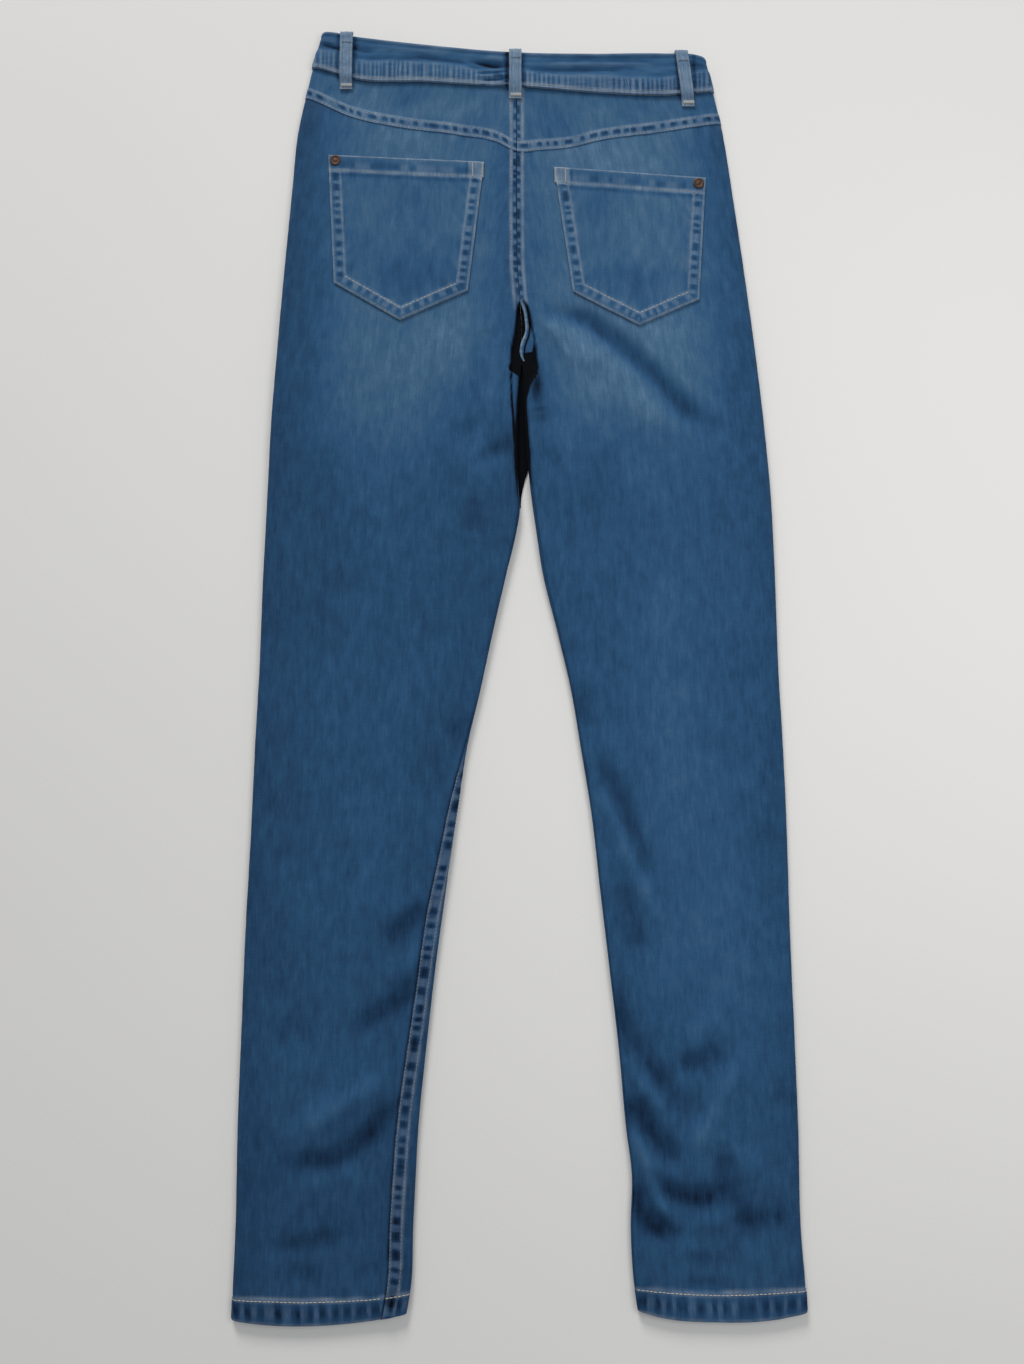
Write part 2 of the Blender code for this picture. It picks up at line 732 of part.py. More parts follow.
def build_pocket(pocket):
    """A five-sided wall moved out from the seat, thicker along its hem and its turned rim."""
    outer_top, inner_top, inner_low, point, outer_low = [
        np.array(each) for each in pocket[2:]
    ]
    tip = (point[0] - outer_low[0]) / (inner_low[0] - outer_low[0])
    shares = [*POCKET_SIDE_SHARES, tip, *[1 - each for each in POCKET_SIDE_SHARES[::-1]]]
    plan = np.zeros((len(POCKET_ROW_SHARES), len(shares), 2))
    raised = np.zeros(plan.shape[:2])
    for column, share in enumerate(shares):
        top = outer_top + (inner_top - outer_top) * share
        if share < tip:
            low = outer_low + (point - outer_low) * share / tip
        else:
            low = point + (inner_low - point) * (share - tip) / (1 - tip)
        for row, down in enumerate(POCKET_ROW_SHARES):
            plan[row, column] = top + (low - top) * down
            rim = min(share, 1 - share, 1 - down) < POCKET_RIM_SHARE
            if rim or down < POCKET_HEM_SHARE:
                raised[row, column] = SEAM_RAISE
    seat = body_top(plan[..., 1]) + GAP
    under = np.concatenate([plan, seat[..., None]], axis=2)
    outer = np.concatenate([plan, (seat + CLOTH + raised)[..., None]], axis=2)
    wall(pocket.name, outer, under, DENIM, flip=pocket.side == "right")


def build_disc(name, place, low_radius, high_radius, height, colour, segments=16):
    mesh = bpy.data.meshes.new(name)
    shape = bmesh.new()
    bmesh.ops.create_cone(
        shape,
        cap_ends=True,
        segments=segments,
        radius1=low_radius,
        radius2=high_radius,
        depth=height,
    )
    shape.to_mesh(mesh)
    shape.free()
    made = add_object(name, mesh, colour, roughness=0.4, metallic=0.9)
    made.location = (place[0], place[1], place[2] + height / 2)


def build_rivet(pocket):
    x = pocket.outer_top[0] + inward(pocket.side) * RIVET_INSET[0]
    y = pocket.outer_top[1] - RIVET_INSET[1]
    z = body_top(y) + GAP + CLOTH + SEAM_RAISE + GAP
    name = "rivet_" + pocket.side
    top_radius = RIVET_RADIUS * RIVET_TOP_SHARE
    build_disc(name, (x, y, z), RIVET_RADIUS, top_radius, RIVET_HEIGHT, COPPER)


def build_button():
    x = CLOSING_X - BUTTON_INSET
    y = (front_seam(x) + front_edge(x)) / 2
    under_radius = BUTTON_RADIUS * BUTTON_UNDER_SHARE
    build_disc("waist_button", (x, y, 0), under_radius, BUTTON_RADIUS, BUTTON_HEIGHT, METAL, 24)


def build_loop(loop):
    """A strip from the yoke over the waistband and round its edge."""
    seam = along(WAIST_SEAM, "y", loop.x)
    edge = along(WAIST_EDGE, "y", loop.x)
    places = {"edge": edge, "middle": (edge + seam) / 2, "seam": seam}
    levels = {
        "end": LOOP_END,
        "band": WAISTBAND_TOP + GAP,
        "yoke": body_top(seam - LOOP_TAIL) + loop.seam + GAP,
    }
    path = np.array(
        [(places[bend.place] + bend.run, levels[bend.level] + bend.rise) for bend in LOOP_BENDS]
    )
    along_path = np.gradient(path, axis=0)
    normal = np.stack([-along_path[:, 1], along_path[:, 0]], axis=1)
    normal *= -1 / np.linalg.norm(normal, axis=1, keepdims=True)
    outer_path = path + normal * LOOP_CLOTH
    centre = loop.x + loop.lean * (path[:, 0] - seam) / (edge - seam)

    def strip(line):
        sides = [
            np.stack([centre + offset, line[:, 0], line[:, 1]], axis=1)
            for offset in (-LOOP_WIDTH / 2, LOOP_WIDTH / 2)
        ]
        return np.stack(sides, axis=1)

    wall(loop.name, strip(outer_path), strip(path), DENIM_LIGHT)


def main():
    for each in list(bpy.data.objects):
        bpy.data.objects.remove(each)
    for side in ("left", "right"):
        build_back(side)
        build_front(side)
        build_yoke(side)
    build_waistband()
    for loop in LOOPS:
        build_loop(loop)
    for pocket in POCKETS:
        build_pocket(pocket)
        build_rivet(pocket)
    build_button()


main()
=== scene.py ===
import math

import bpy
import numpy as np
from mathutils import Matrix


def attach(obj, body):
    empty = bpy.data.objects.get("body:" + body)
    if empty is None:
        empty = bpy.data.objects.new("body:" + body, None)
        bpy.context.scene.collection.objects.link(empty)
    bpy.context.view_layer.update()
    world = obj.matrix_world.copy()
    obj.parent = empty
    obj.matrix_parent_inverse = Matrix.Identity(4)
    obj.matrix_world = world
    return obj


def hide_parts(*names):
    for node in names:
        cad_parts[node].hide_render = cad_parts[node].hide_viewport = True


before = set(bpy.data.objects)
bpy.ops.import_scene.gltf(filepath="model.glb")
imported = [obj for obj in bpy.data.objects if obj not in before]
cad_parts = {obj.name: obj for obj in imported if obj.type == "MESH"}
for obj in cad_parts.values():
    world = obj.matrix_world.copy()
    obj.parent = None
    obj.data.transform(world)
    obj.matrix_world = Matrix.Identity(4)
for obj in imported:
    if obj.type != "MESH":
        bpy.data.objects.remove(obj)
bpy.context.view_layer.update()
scene = bpy.context.scene
print("frame loaded:", len(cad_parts), "nodes")


# reading tables and making uneven lines

def metres(*rows):
    # numbers or rows of them in millimetres, as metres
    return np.array(rows) * 0.001


def onPlan(places):
    # x and y of each point in turn, millimetres, as rows of metres
    return np.array(places).reshape(-1, 2) * 0.001


def smoothRead(table, column, at):
    # cubic curve through a table's rows, each slope taken from the rows beside it
    table = table[np.argsort(table[:, 0])]
    place, value = table[:, 0], table[:, column]
    slope = np.gradient(value, place)
    at = np.clip(at, place[0], place[-1])
    low = np.clip(np.searchsorted(place, at) - 1, 0, len(place) - 2)
    step = place[low + 1] - place[low]
    t = (at - place[low]) / step
    return (value[low] * (2 * t**3 - 3 * t**2 + 1) + slope[low] * step * (t**3 - 2 * t**2 + t)
            + value[low + 1] * (3 * t**2 - 2 * t**3) + slope[low + 1] * step * (t**3 - t**2))


def straightRead(table, column, at):
    # straight blends between a table's rows
    table = table[np.argsort(table[:, 0])]
    return np.interp(at, table[:, 0], table[:, column])


def ease(t):
    # 0 to 1 with no kink at either end: 3t^2 - 2t^3
    t = np.clip(t, 0, 1)
    return t * t * (3 - 2 * t)


def hump(d, width):
    # bell curve: exp of minus the square of distance over width
    return np.exp(-((d / width) ** 2))


def wander(at, step, seed):
    # smooth uneven line from -1 to 1: random heights at even steps with eased blends between
    at = np.asarray(at) / step
    low = np.floor(at).astype(int)
    heights = np.random.default_rng(seed).uniform(-1, 1, 2048)
    share = ease(at - low)
    return heights[low % 2048] * (1 - share) + heights[(low + 1) % 2048] * share


def dapple(x, y, stepX, stepY, seed):
    # smooth uneven surface from -1 to 1: the same on a grid of steps
    atX, atY = x / stepX, y / stepY
    lowX, lowY = np.floor(atX).astype(int), np.floor(atY).astype(int)
    shareX, shareY = ease(atX - lowX), ease(atY - lowY)
    heights = np.random.default_rng(seed).uniform(-1, 1, (256, 256))
    near, far = (heights[lowX % 256, row] * (1 - shareX) + heights[(lowX + 1) % 256, row] * shareX
                 for row in (lowY % 256, (lowY + 1) % 256))
    return near * (1 - shareY) + far * shareY


def nearLine(points, x, y):
    # distance in plan from each place to a broken line, and how far along the line its foot is, 0 to 1
    points = np.array(points)
    lengths = np.hypot(*np.diff(points, axis=0).T)
    best, along, done = np.full(np.shape(x), 9.0), np.zeros(np.shape(x)), 0.0
    for (ax, ay), (bx, by), length in zip(points, points[1:], lengths):
        foot = np.clip(((x - ax) * (bx - ax) + (y - ay) * (by - ay)) / length**2, 0, 1)
        far = np.hypot(x - ax - foot * (bx - ax), y - ay - foot * (by - ay))
        along = np.where(far < best, (done + foot * length) / lengths.sum(), along)
        best = np.minimum(far, best)
        done += length
    return best, along


def fadedEnds(along, rate, least=0.0):
    # 1 in the middle of a line and the least share at both ends, eased over one part in rate of its length
    return least + (1 - least) * ease(rate * along) * ease(rate - rate * along)


def runAlong(line):
    # distance along a broken line to each of its points
    return np.concatenate([[0], np.cumsum(np.linalg.norm(np.diff(line, axis=0), axis=1))])


def alongLine(line, at, values=None):
    # places on a broken line, or values that go with it, at distances along it, with straight blends
    run = runAlong(line)
    return np.stack([np.interp(at, run, part) for part in (line if values is None else values).T], axis=-1)


def runAcross(grid):
    # distance along each row of a grid from its first column
    return np.linalg.norm(np.diff(grid, axis=1, prepend=grid[:, :1]), axis=2).cumsum(axis=1)


def runBack(grid):
    # distance along each row of a grid from its last column
    return runAcross(grid[:, ::-1])[:, ::-1]


# the flattened tubes of the body and legs; left and right are the wearer's, tables are in millimetres

sides = {"left": (1, 1), "right": (-1, 2)}  # sign of x towards the middle, and the tables' column

jeans = {
    "cloth": 0.0012,
    "seamGap": 0.0003,
    "edgeHeight": 0.0024,  # of the folded side, over the floor
    "edgeRoll": 0.0045,
    "underRoll": 0.0030,
    "rollPower": 2.5,
    "crotch": 0.224,
    "creaseFade": 0.012,
    "hollowFloor": 0.0036,
    "hollowDepth": 0.85,
}

# y, left, right: outermost edges of the body and legs
outerEdges = metres(
    (515, -163, 148), (485, -170.8, 155.6), (457, -176.5, 161.5), (424, -182.8, 168), (371, -186.9, 175),
    (302, -191.8, 183.2), (234, -196, 190.5), (167, -199.6, 196.6), (118, -200.8, 200), (53, -202.6, 201.8),
    (-26, -203.8, 202.6), (-89, -205.7, 204.6), (-150, -207, 205.7), (-226, -209.2, 206), (-300, -210.3, 207.2),
    (-372, -211.2, 208.1), (-443, -210.8, 208), (-487, -211.6, 210.4), (-512, -211.8, 211.2),
)

# y, left, right: centre seam above the crotch, inner edges of the legs below it
innerEdges = metres(
    (515, -2, -2), (330, -2, -2), (305, -1.8, -1.8), (268, 1, 1), (240, 2, 2), (224, 2, 2), (212, 0.6, 3.2),
    (195, -0.4, 3.8), (170, -1.2, 4.8), (145, -1.4, 6.2), (118, -0.4, 8.6), (101, 0.4, 10.8), (85, -2.1, 13.1),
    (53, -9.6, 17.8), (5, -20.5, 29.3), (-42, -30.5, 40), (-89, -41.2, 47.6), (-135, -48.3, 54.8),
    (-196, -56.4, 61.4), (-256, -64.2, 68.1), (-314, -70.5, 74.4), (-372, -75.9, 79.3), (-403, -77.4, 83),
    (-443, -79, 81.8), (-480, -79.9, 83.6), (-512, -85, 88),
)

# y, height of the plain upper surface
topHeights = metres((515, 4.8), (440, 5), (224, 8.8), (150, 8.4), (50, 6.8), (-100, 5.8), (-512, 5.6))

# y, left, right: how wide the top rounds down at the inner end
innerRolls = metres(
    (515, 6, 6), (270, 6.5, 10), (235, 8, 12), (212, 8, 11.5), (190, 6.5, 8), (150, 4.5, 4.8), (100, 4.2, 4.2),
    (-512, 4.2, 4.2),
)

# y in metres, back, front: how far the inner end has turned down or up into a closed fold
innerTurns = np.array([
    (0.515, 0.0, 0.0), (0.270, 0.0, 0.0), (0.250, 0.75, 0.0), (0.238, 1.0, 0.3), (0.224, 1.0, 1.0),
    (-0.512, 1.0, 1.0),
])

# y, left, right: how far the inseam lies up from the inner edge, over the top
inseamShifts = metres(
    (224, 0, 0), (190, 2.2, 2.2), (-60, 2.2, 2.2), (-95, 4.8, 2.2), (-130, 8.4, 2.2), (-170, 11, 2.2),
    (-205, 13.8, 2.2), (-275, 15, 2.2), (-355, 17.8, 2.2), (-420, 19.2, 2.2), (-512, 19.6, 2.2),
)

# x, y of the seams and edges that run across
waistSeam = metres(
    (-177, 479), (-168, 477.2), (-137, 467.6), (-74, 464.8), (-38, 462.2), (0, 460.8), (66, 455.2), (130, 453.4),
    (160, 456.5),
)
waistEdge = metres(
    (-177, 504.5), (-164, 508.5), (-137, 504.5), (-74, 496.8), (-8, 490.7), (60, 489.2), (120, 489.4), (148, 488),
    (160, 483.8),
)
frontSeam = metres((-172, 477.9), (161, 456.7))
frontEdge = metres((-166.2, 508), (156.5, 485.1))
yokeSeam = metres(
    (-190, 455), (-175, 450.5), (-138, 433.8), (-96, 424.3), (-50, 418), (-18, 411.8), (-2, 403.5), (15, 404.5),
    (42, 407), (66, 413.2), (112, 419.8), (165, 427.8), (180, 429),
)
hems = {
    "left": metres((-213, -505.5), (-190, -508.5), (-150, -509.5), (-110, -506), (-79, -500.5)),
    "right": metres((80, -497), (100, -503), (146, -507), (185, -505.5), (212, -500.5)),
}

hemRows = {
    "left": metres((-213, -491.5), (-153.5, -493.1), (-110, -491.2), (-79, -487.5)),
    "right": metres((80, -483.8), (110, -486.6), (146.1, -488.3), (180, -487.4), (212, -485.4)),
}

# creases of the back in millimetres: half width, height (below zero for a trough), then x, y of each point
creases = {
    "left": [
        (7, -1.5, -25, 146, -4, 157), (4.5, 0.9, -21.5, 236, -22, 200, -21, 165),
        (6.5, -0.6, -33, 240, -35, 210, -37, 178), (4, 0.7, -15, 268, -27, 246), (9, 0.7, -40, 128, -12, 140),
        (8.5, -1.7, -104, -236, -88, -224, -70, -208), (9, 0.8, -100, -214, -70, -196),
        (8.5, -1.9, -124, -300, -106, -288, -90, -278, -75, -263), (9, 1, -106, -262, -76, -243),
        (7.5, -2.3, -174, -396, -137, -394, -115, -379, -93, -355), (10, 1.8, -165, -374, -103, -334),
        (9, 0.7, -158, -412, -118, -398), (6.5, -1, -189, -457, -153, -451.5, -127, -445.5),
        (8, -0.7, -35, -67, -58, -78), (11, -0.5, -190, -304, -160, -296), (13, -0.45, -150, 60, -145, -30),
        (14, 0.5, -95, 200, -85, 120), (13, -0.45, -62, 215, -55, 110), (13, 0.45, -120, -120, -108, -200),
        (6.5, -0.8, -52.6, 164.3, -31.3, 171.6), (8, -0.8, -31.1, 110.7, -37.8, 78.3),
        (5, 0.8, -24.5, 156.6, -40.2, 140.8), (6, -0.7, -172, -472, -150, -476), (6, -0.7, -118, -474, -102, -470),
    ],
    "right": [
        (7.5, -3.1, 28, 262, 55, 258, 81, 237, 105, 215, 135, 181, 155, 168), (11, 1.3, 23, 258, 45, 242, 66, 218),
        (11, 0.8, 90, 196, 128, 160), (9, -0.7, 168, 215, 173, 184), (4.5, 0.7, 37, 162, 40, 140, 41, 112),
        (7, -0.5, 20, 230, 23, 190, 21, 150), (8, -0.9, 44, -44, 54, -74),
        (7.5, -1.7, 53, -102, 65, -105, 75, -123, 86, -150, 103, -198), (8.5, 2.1, 60, -113, 80, -159, 103, -213),
        (8.5, -1.4, 78, -188, 92, -245), (9, -0.45, 126, -85, 168, -85), (8, -0.4, 169, -31, 185, -31),
        (8, -0.45, 180, -158, 203, -158), (8.5, -2.3, 73, -266, 78, -293, 94, -322, 114, -347),
        (8, 2, 79, -312, 96, -342, 110, -362), (9, 1.6, 166, -322, 146, -358, 128, -392),
        (8, -1.8, 118, -326, 136, -324, 152, -314), (9, 0.7, 128, -300, 152, -292),
        (8, -2.3, 79, -347, 99, -375, 112, -388, 124, -392), (7, 1.1, 86, -376, 98, -394, 108, -400),
        (7.5, -2.8, 102, -410, 112, -417, 130, -421, 148, -421), (6.5, -1.9, 148, -420, 152, -404, 154, -388),
        (6, 2.3, 80, -364, 92, -396, 102, -420, 114, -438), (8, 1.2, 78, -268, 86, -300, 100, -330),
        (7, 1, 130, -438, 150, -436, 158, -426), (8, -1, 156, -404, 166, -428, 168, -444),
        (10, -0.9, 108, -349, 126, -356, 140, -354), (6, 0.8, 118, -452, 136, -458),
        (8, -2.6, 85, -408, 88, -426, 98, -441, 114, -447), (10, 0.6, 165, -380, 170, -410),
        (7, -0.7, 190, -351, 208, -351), (9, -1.2, 158, -434, 178, -438, 202, -434), (7, -0.8, 128, -465, 152, -465),
        (5, -0.9, 120, -481, 147, -481), (7.5, -0.9, 20.9, 151.1, 31.5, 135.8),
        (10, -0.7, 65, 154.4, 62.2, 121.6, 59.3, 84.7), (13, -0.5, 110.4, 156.6, 115.5, 112.9),
        (4.5, 1.1, 19.1, 256.7, 30.9, 242.1, 44.1, 220.8), (6, -0.9, 14.8, 185.3, 18.2, 169.8),
        (12, -0.5, 83.9, 165.4, 100.7, 145.6), (14, 0.45, 110, 60, 120, -20), (13, -0.45, 75, 190, 82, 80),
    ],
}


def creaseLift(side, x, y):
    # sum of bell-shaped troughs and ridges beside broken lines, each fading at its two ends, with slow
    # and finer swells all over; the sum bends off softly before the back's cloth meets the front's
    lift = np.zeros(np.shape(x))
    for number, (width, height, *places) in enumerate(creases[side]):
        far, along = nearLine(onPlan(places), x, y)
        uneven = 1 + 0.25 * wander(along, 0.21, 40 + number)
        lift += 0.0015 * height * fadedEnds(along, 5, 0.35) * uneven * hump(far, width * 0.001)
    lift += 0.00028 * dapple(x, y, 0.034, 0.060, 5) + 0.00010 * dapple(x, y, 0.012, 0.021, 6)
    lift += 0.00005 * dapple(x, y, 0.0055, 0.0090, 7)
    room = straightRead(topHeights, 1, y) - 0.0030
    deep = np.maximum(-lift, 0) / room
    return np.where(lift < 0, -room * deep / (1 + deep**4) ** 0.25, lift)


def creaseShading(side, x, y):
    # painted shade in the creases' troughs and painted highlight on their ridges, by height beside the swells
    dark, pale = np.zeros(np.shape(x)), np.zeros(np.shape(x))
    for width, height, *places in creases[side]:
        far, along = nearLine(onPlan(places), x, y)
        share = abs(height) * fadedEnds(along, 5, 0.3) * hump(far, width * (0.00105 if height < 0 else 0.0008))
        if height < 0:
            dark += share
        else:
            pale += share
    return 0.17 * np.minimum(dark, 3.2), 0.055 * np.minimum(pale, 2.4)


def tubeSizes(side, y, top=None, grow=0.0):
    # lengths along the flattened tube's outline: rolled ends as 1.11 times the diagonal of their reach and
    # rise (a quarter ellipse), and the flat stretch between them
    turn, column = sides[side]
    high = straightRead(topHeights, 1, y) if top is None else top
    size = {
        "outer": smoothRead(outerEdges, column, y) - turn * grow,
        "inner": smoothRead(innerEdges, column, y) - turn * jeans["seamGap"] / 2,
        "roll": straightRead(innerRolls, column, y),
        "turned": straightRead(innerTurns, 1, y),
        "under": straightRead(innerTurns, 2, y),
        "rise": high - jeans["edgeHeight"],
    }
    wide = np.abs(size["inner"] - size["outer"])
    bent = 1.11 * np.hypot(size["roll"], size["rise"])
    size["innerArc"] = size["roll"] + (bent - size["roll"]) * size["turned"]
    size["outerArc"] = 1.11 * np.hypot(jeans["edgeRoll"], size["rise"])
    size["flat"] = wide - size["roll"] - jeans["edgeRoll"]
    size["over"] = size["innerArc"] + size["flat"] + size["outerArc"]
    size["lowArc"] = 1.11 * math.hypot(jeans["underRoll"], jeans["edgeHeight"])
    size["startArc"] = jeans["underRoll"] + (size["lowArc"] - jeans["underRoll"]) * size["under"]
    size["lowFlat"] = wide - 2 * jeans["underRoll"]
    size["below"] = size["startArc"] + size["lowFlat"] + size["lowArc"]
    return size


def overTop(side, y, far, top=None, grow=0.0, creased=True):
    # upper line at a distance from its inner end: a quarter superellipse down at the inner end, a flat
    # stretch, and a quarter ellipse down to the side seam
    turn, size = sides[side][0], tubeSizes(side, y, top, grow)
    innerAngle = math.pi / 2 * (1 - np.clip(far / size["innerArc"], 0, 1))
    outerAngle = math.pi / 2 * np.clip((size["over"] - far) / size["outerArc"], 0, 1)
    power = 2 / jeans["rollPower"]
    start = ((1 - size["turned"]) * np.clip(far / size["innerArc"], 0, 1)
             + size["turned"] * (1 - np.sin(innerAngle) ** power))
    run = (size["roll"] * start + np.clip(far - size["innerArc"], 0, size["flat"])
           + jeans["edgeRoll"] * np.cos(outerAngle))
    x = size["inner"] - turn * run
    share = (1 - size["turned"] * (1 - np.abs(np.cos(innerAngle)) ** power)) * np.sin(outerAngle)
    lift = 0.0
    if creased:
        inside = np.minimum(np.abs(x - size["outer"]), np.abs(x - size["inner"])) / jeans["creaseFade"]
        lift = creaseLift(side, x, y) * np.clip(inside, 0, 1)
    return x, jeans["edgeHeight"] + (size["rise"] + lift) * share


def underneath(side, y, far, grow=0.0):
    # lower line at a distance from its inner end: flat on the floor, with a quarter ellipse up at each
    # folded end
    turn, size = sides[side][0], tubeSizes(side, y, 0.005, grow)
    part = far / size["startArc"]
    innerAngle = math.pi / 2 * np.clip(part, 0, 1)
    outerAngle = math.pi / 2 * np.clip((size["below"] - far) / size["lowArc"], 0, 1)
    start = (1 - size["under"]) * np.minimum(part, 1) + size["under"] * (1 - np.cos(innerAngle))
    run = (jeans["underRoll"] * (start + np.cos(outerAngle))
           + np.clip(far - size["startArc"], 0, size["lowFlat"]))
    z = jeans["edgeHeight"] * (size["under"] * (1 - np.sin(innerAngle)) + 1 - np.sin(outerAngle))
    return size["inner"] - turn * run, z


def inseamShift(side, y):
    # how far up the inseam lies, with the value at the crotch for all that is above it
    return smoothRead(inseamShifts, sides[side][1], np.minimum(y, jeans["crotch"]))


def seatHeight(side, x, y):
    # plain upper surface plus the creases
    return straightRead(topHeights, 1, y) + creaseLift(side, x, y)


# grids, normals and meshes

def spread(near, last, steps):
    # stops at set distances from both ends and even steps between: distance from the first end, from
    # the last end, and the share of the way between them
    middle = np.linspace(0, 1, steps + 1)[1:-1]
    return np.array([
        [*near, *[near[-1]] * len(middle), *[0] * len(last)],
        [*[0] * len(near), *[last[0]] * len(middle), *last],
        [*[0] * len(near), *middle, *[1] * len(last)],
    ])


def stopsBetween(start, end, stops):
    # blend by share of two places: a set distance past the start and a set distance before the end
    fromStart, fromEnd, share = stops
    towards = np.sign(end - start)
    return (1 - share) * (start + towards * fromStart) + share * (end - towards * fromEnd)


def rowStops(*stretches):
    # rows from the waist down: (from, to, step) for each stretch
    rows = [np.linspace(start, end, max(2, round(abs(start - end) / step) + 1))[:-1]
            for start, end, step in stretches]
    return np.concatenate([*rows, [stretches[-1][1]]])


def settle(placeAt, bend, first):
    # x depends on y, and y bends with x, so they are worked out in turn until they agree
    y = first
    for _ in range(5):
        x, z = placeAt(y)
        y = bend(x)
    x, z = placeAt(y)
    return np.stack([x, y, z], axis=-1)


def normals(grid, turn):
    # cross product of the steps down and across a grid
    across = np.cross(np.gradient(grid, axis=0), np.gradient(grid, axis=1)) * turn
    return across / np.maximum(np.linalg.norm(across, axis=2, keepdims=True), 1e-12)


def addMesh(name, points, faces, material, node=None, values=None, weave=None, sharp=None):
    # one object from points and faces, with its attributes, texture coordinates, finish, slot and solid
    mesh = bpy.data.meshes.new(name)
    mesh.from_pydata(np.asarray(points).reshape(-1, 3).tolist(), [], faces)
    if weave is not None:
        corners = np.empty(len(mesh.loops), dtype=np.int32)
        mesh.loops.foreach_get("vertex_index", corners)
        mesh.uv_layers.new(name="weave").data.foreach_set("uv", weave.reshape(-1, 2)[corners].ravel())
    for key, value in (values or {}).items():
        mesh.attributes.new(key, "FLOAT", "POINT").data.foreach_set("value", value.astype(np.float32))
    mesh.shade_smooth()
    if sharp:
        mesh.set_sharp_from_angle(angle=math.radians(sharp))
    mesh.materials.append(material)
    made = bpy.data.objects.new(name, mesh)
    scene.collection.objects.link(made)
    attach(made, "root")
    if node:
        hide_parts(node)
    return made


def gridFaces(rows, columns, first=0, flip=False, closed=False):
    # four-sided faces of a grid; a closed one joins its last column to its first
    index = first + np.arange(rows * columns).reshape(rows, columns)
    if closed:
        index = np.concatenate([index, index[:, :1]], axis=1)
    faces = np.stack([index[:-1, :-1], index[1:, :-1], index[1:, 1:], index[:-1, 1:]], axis=-1).reshape(-1, 4)
    return faces[:, ::-1] if flip else faces


def clothPiece(name, grid, turn, thick, cloth, weave, slot, node=None, **values):
    # a wall of cloth: the outer grid, the same grid moved in along its normals, and the rim between
    rows, columns = grid.shape[:2]
    count, flip = rows * columns, turn < 0
    inner = grid - normals(grid, turn) * np.asarray(thick)[..., None]
    index = np.arange(count).reshape(rows, columns)
    rim = np.concatenate([index[:, 0], index[-1, 1:], index[-2::-1, -1], index[0, -2:0:-1]])
    after = np.roll(rim, -1)
    wall = np.stack([rim, rim + count, after + count, after], axis=1)
    faces = [gridFaces(rows, columns, 0, flip), gridFaces(rows, columns, count, not flip),
             wall[:, ::-1] if flip else wall]
    both = {key: np.tile(np.broadcast_to(value, (rows, columns)).ravel(), 2) for key, value in values.items()}
    both["reverse"] = np.repeat([0.0, 1.0], count)
    return addMesh(name, np.concatenate([grid.reshape(-1, 3), inner.reshape(-1, 3)]),
                   np.concatenate(faces).tolist(), finishes[cloth], node, both,
                   np.concatenate([weave.reshape(-1, 2)] * 2), sharp=50)


# shader maths as Python expressions

class Wire:
    # one output of a node
    def __init__(self, tree, socket):
        self.tree, self.socket = tree, socket

    def math(self, operation, *others):
        return self.tree.node("ShaderNodeMath", {"operation": operation}, dict(enumerate((self, *others))))

    def __add__(self, other):
        return self.math("ADD", other)

    def __sub__(self, other):
        return self.math("SUBTRACT", other)

    def __rsub__(self, other):
        return self.tree.node("ShaderNodeMath", {"operation": "SUBTRACT"}, {0: other, 1: self})

    def __mul__(self, other):
        return self.math("MULTIPLY", other)

    __radd__ = __add__
    __rmul__ = __mul__


class Finish:
    # a material whose nodes are made by one method
    def __init__(self, name, **settings):
        self.material = bpy.data.materials.new(name)
        self.material.use_nodes = True
        self.nodes, self.links = self.material.node_tree.nodes, self.material.node_tree.links
        self.shader = self.nodes["Principled BSDF"]
        for key, value in settings.items():
            self.shader.inputs[key].default_value = value

    def node(self, kind, settings, inputs, output=0):
        made = self.nodes.new(kind)
        for key, value in settings.items():
            if key == "stops":
                ramp = made.color_ramp
                for number, (place, colour) in enumerate(value):
                    stop = ramp.elements[number] if number < 2 else ramp.elements.new(place)
                    stop.position, stop.color = place, (*colour, 1)
            else:
                setattr(made, key, value)
        for key, value in inputs.items():
            if isinstance(value, Wire):
                self.links.new(value.socket, made.inputs[key])
            else:
                made.inputs[key].default_value = value
        return Wire(self, made.outputs[output])

    def give(self, **wires):
        for key, wire in wires.items():
            self.links.new(wire.socket, self.shader.inputs[key.replace("_", " ")])
        return self.material

    def value(self, name):
        return self.node("ShaderNodeAttribute", {"attribute_name": name}, {}, "Fac")

    def noise(self, u, v, detail=2.0, rough=0.5):
        place = self.node("ShaderNodeCombineXYZ", {}, {0: u, 1: v})
        return self.node("ShaderNodeTexNoise", {},
                         {"Vector": place, "Scale": 1.0, "Detail": detail, "Roughness": rough})

    def grain(self, scale, detail):
        place = self.node("ShaderNodeTexCoord", {}, {}, "Object")
        return self.node("ShaderNodeTexNoise", {}, {"Vector": place, "Scale": scale, "Detail": detail})

    def mix(self, share, first, second):
        first, second = (part if isinstance(part, Wire) else (*part, 1) for part in (first, second))
        return self.node("ShaderNodeMix", {"data_type": "RGBA"}, {0: share, 6: first, 7: second}, 2)

    def bump(self, height, distance, strength):
        return self.node("ShaderNodeBump", {}, {"Height": height, "Distance": distance, "Strength": strength})


lightLevel = 0.84  # how bright a white floor comes out


def tint(red, green, blue):
    # a seen colour, 0 to 255, as the cloth's own linear colour under this light
    share = np.array([red, green, blue]) / 255
    linear = np.where(share <= 0.04045, share / 12.92, ((share + 0.055) / 1.055) ** 2.4) / lightLevel
    return tuple(float(part) for part in linear)


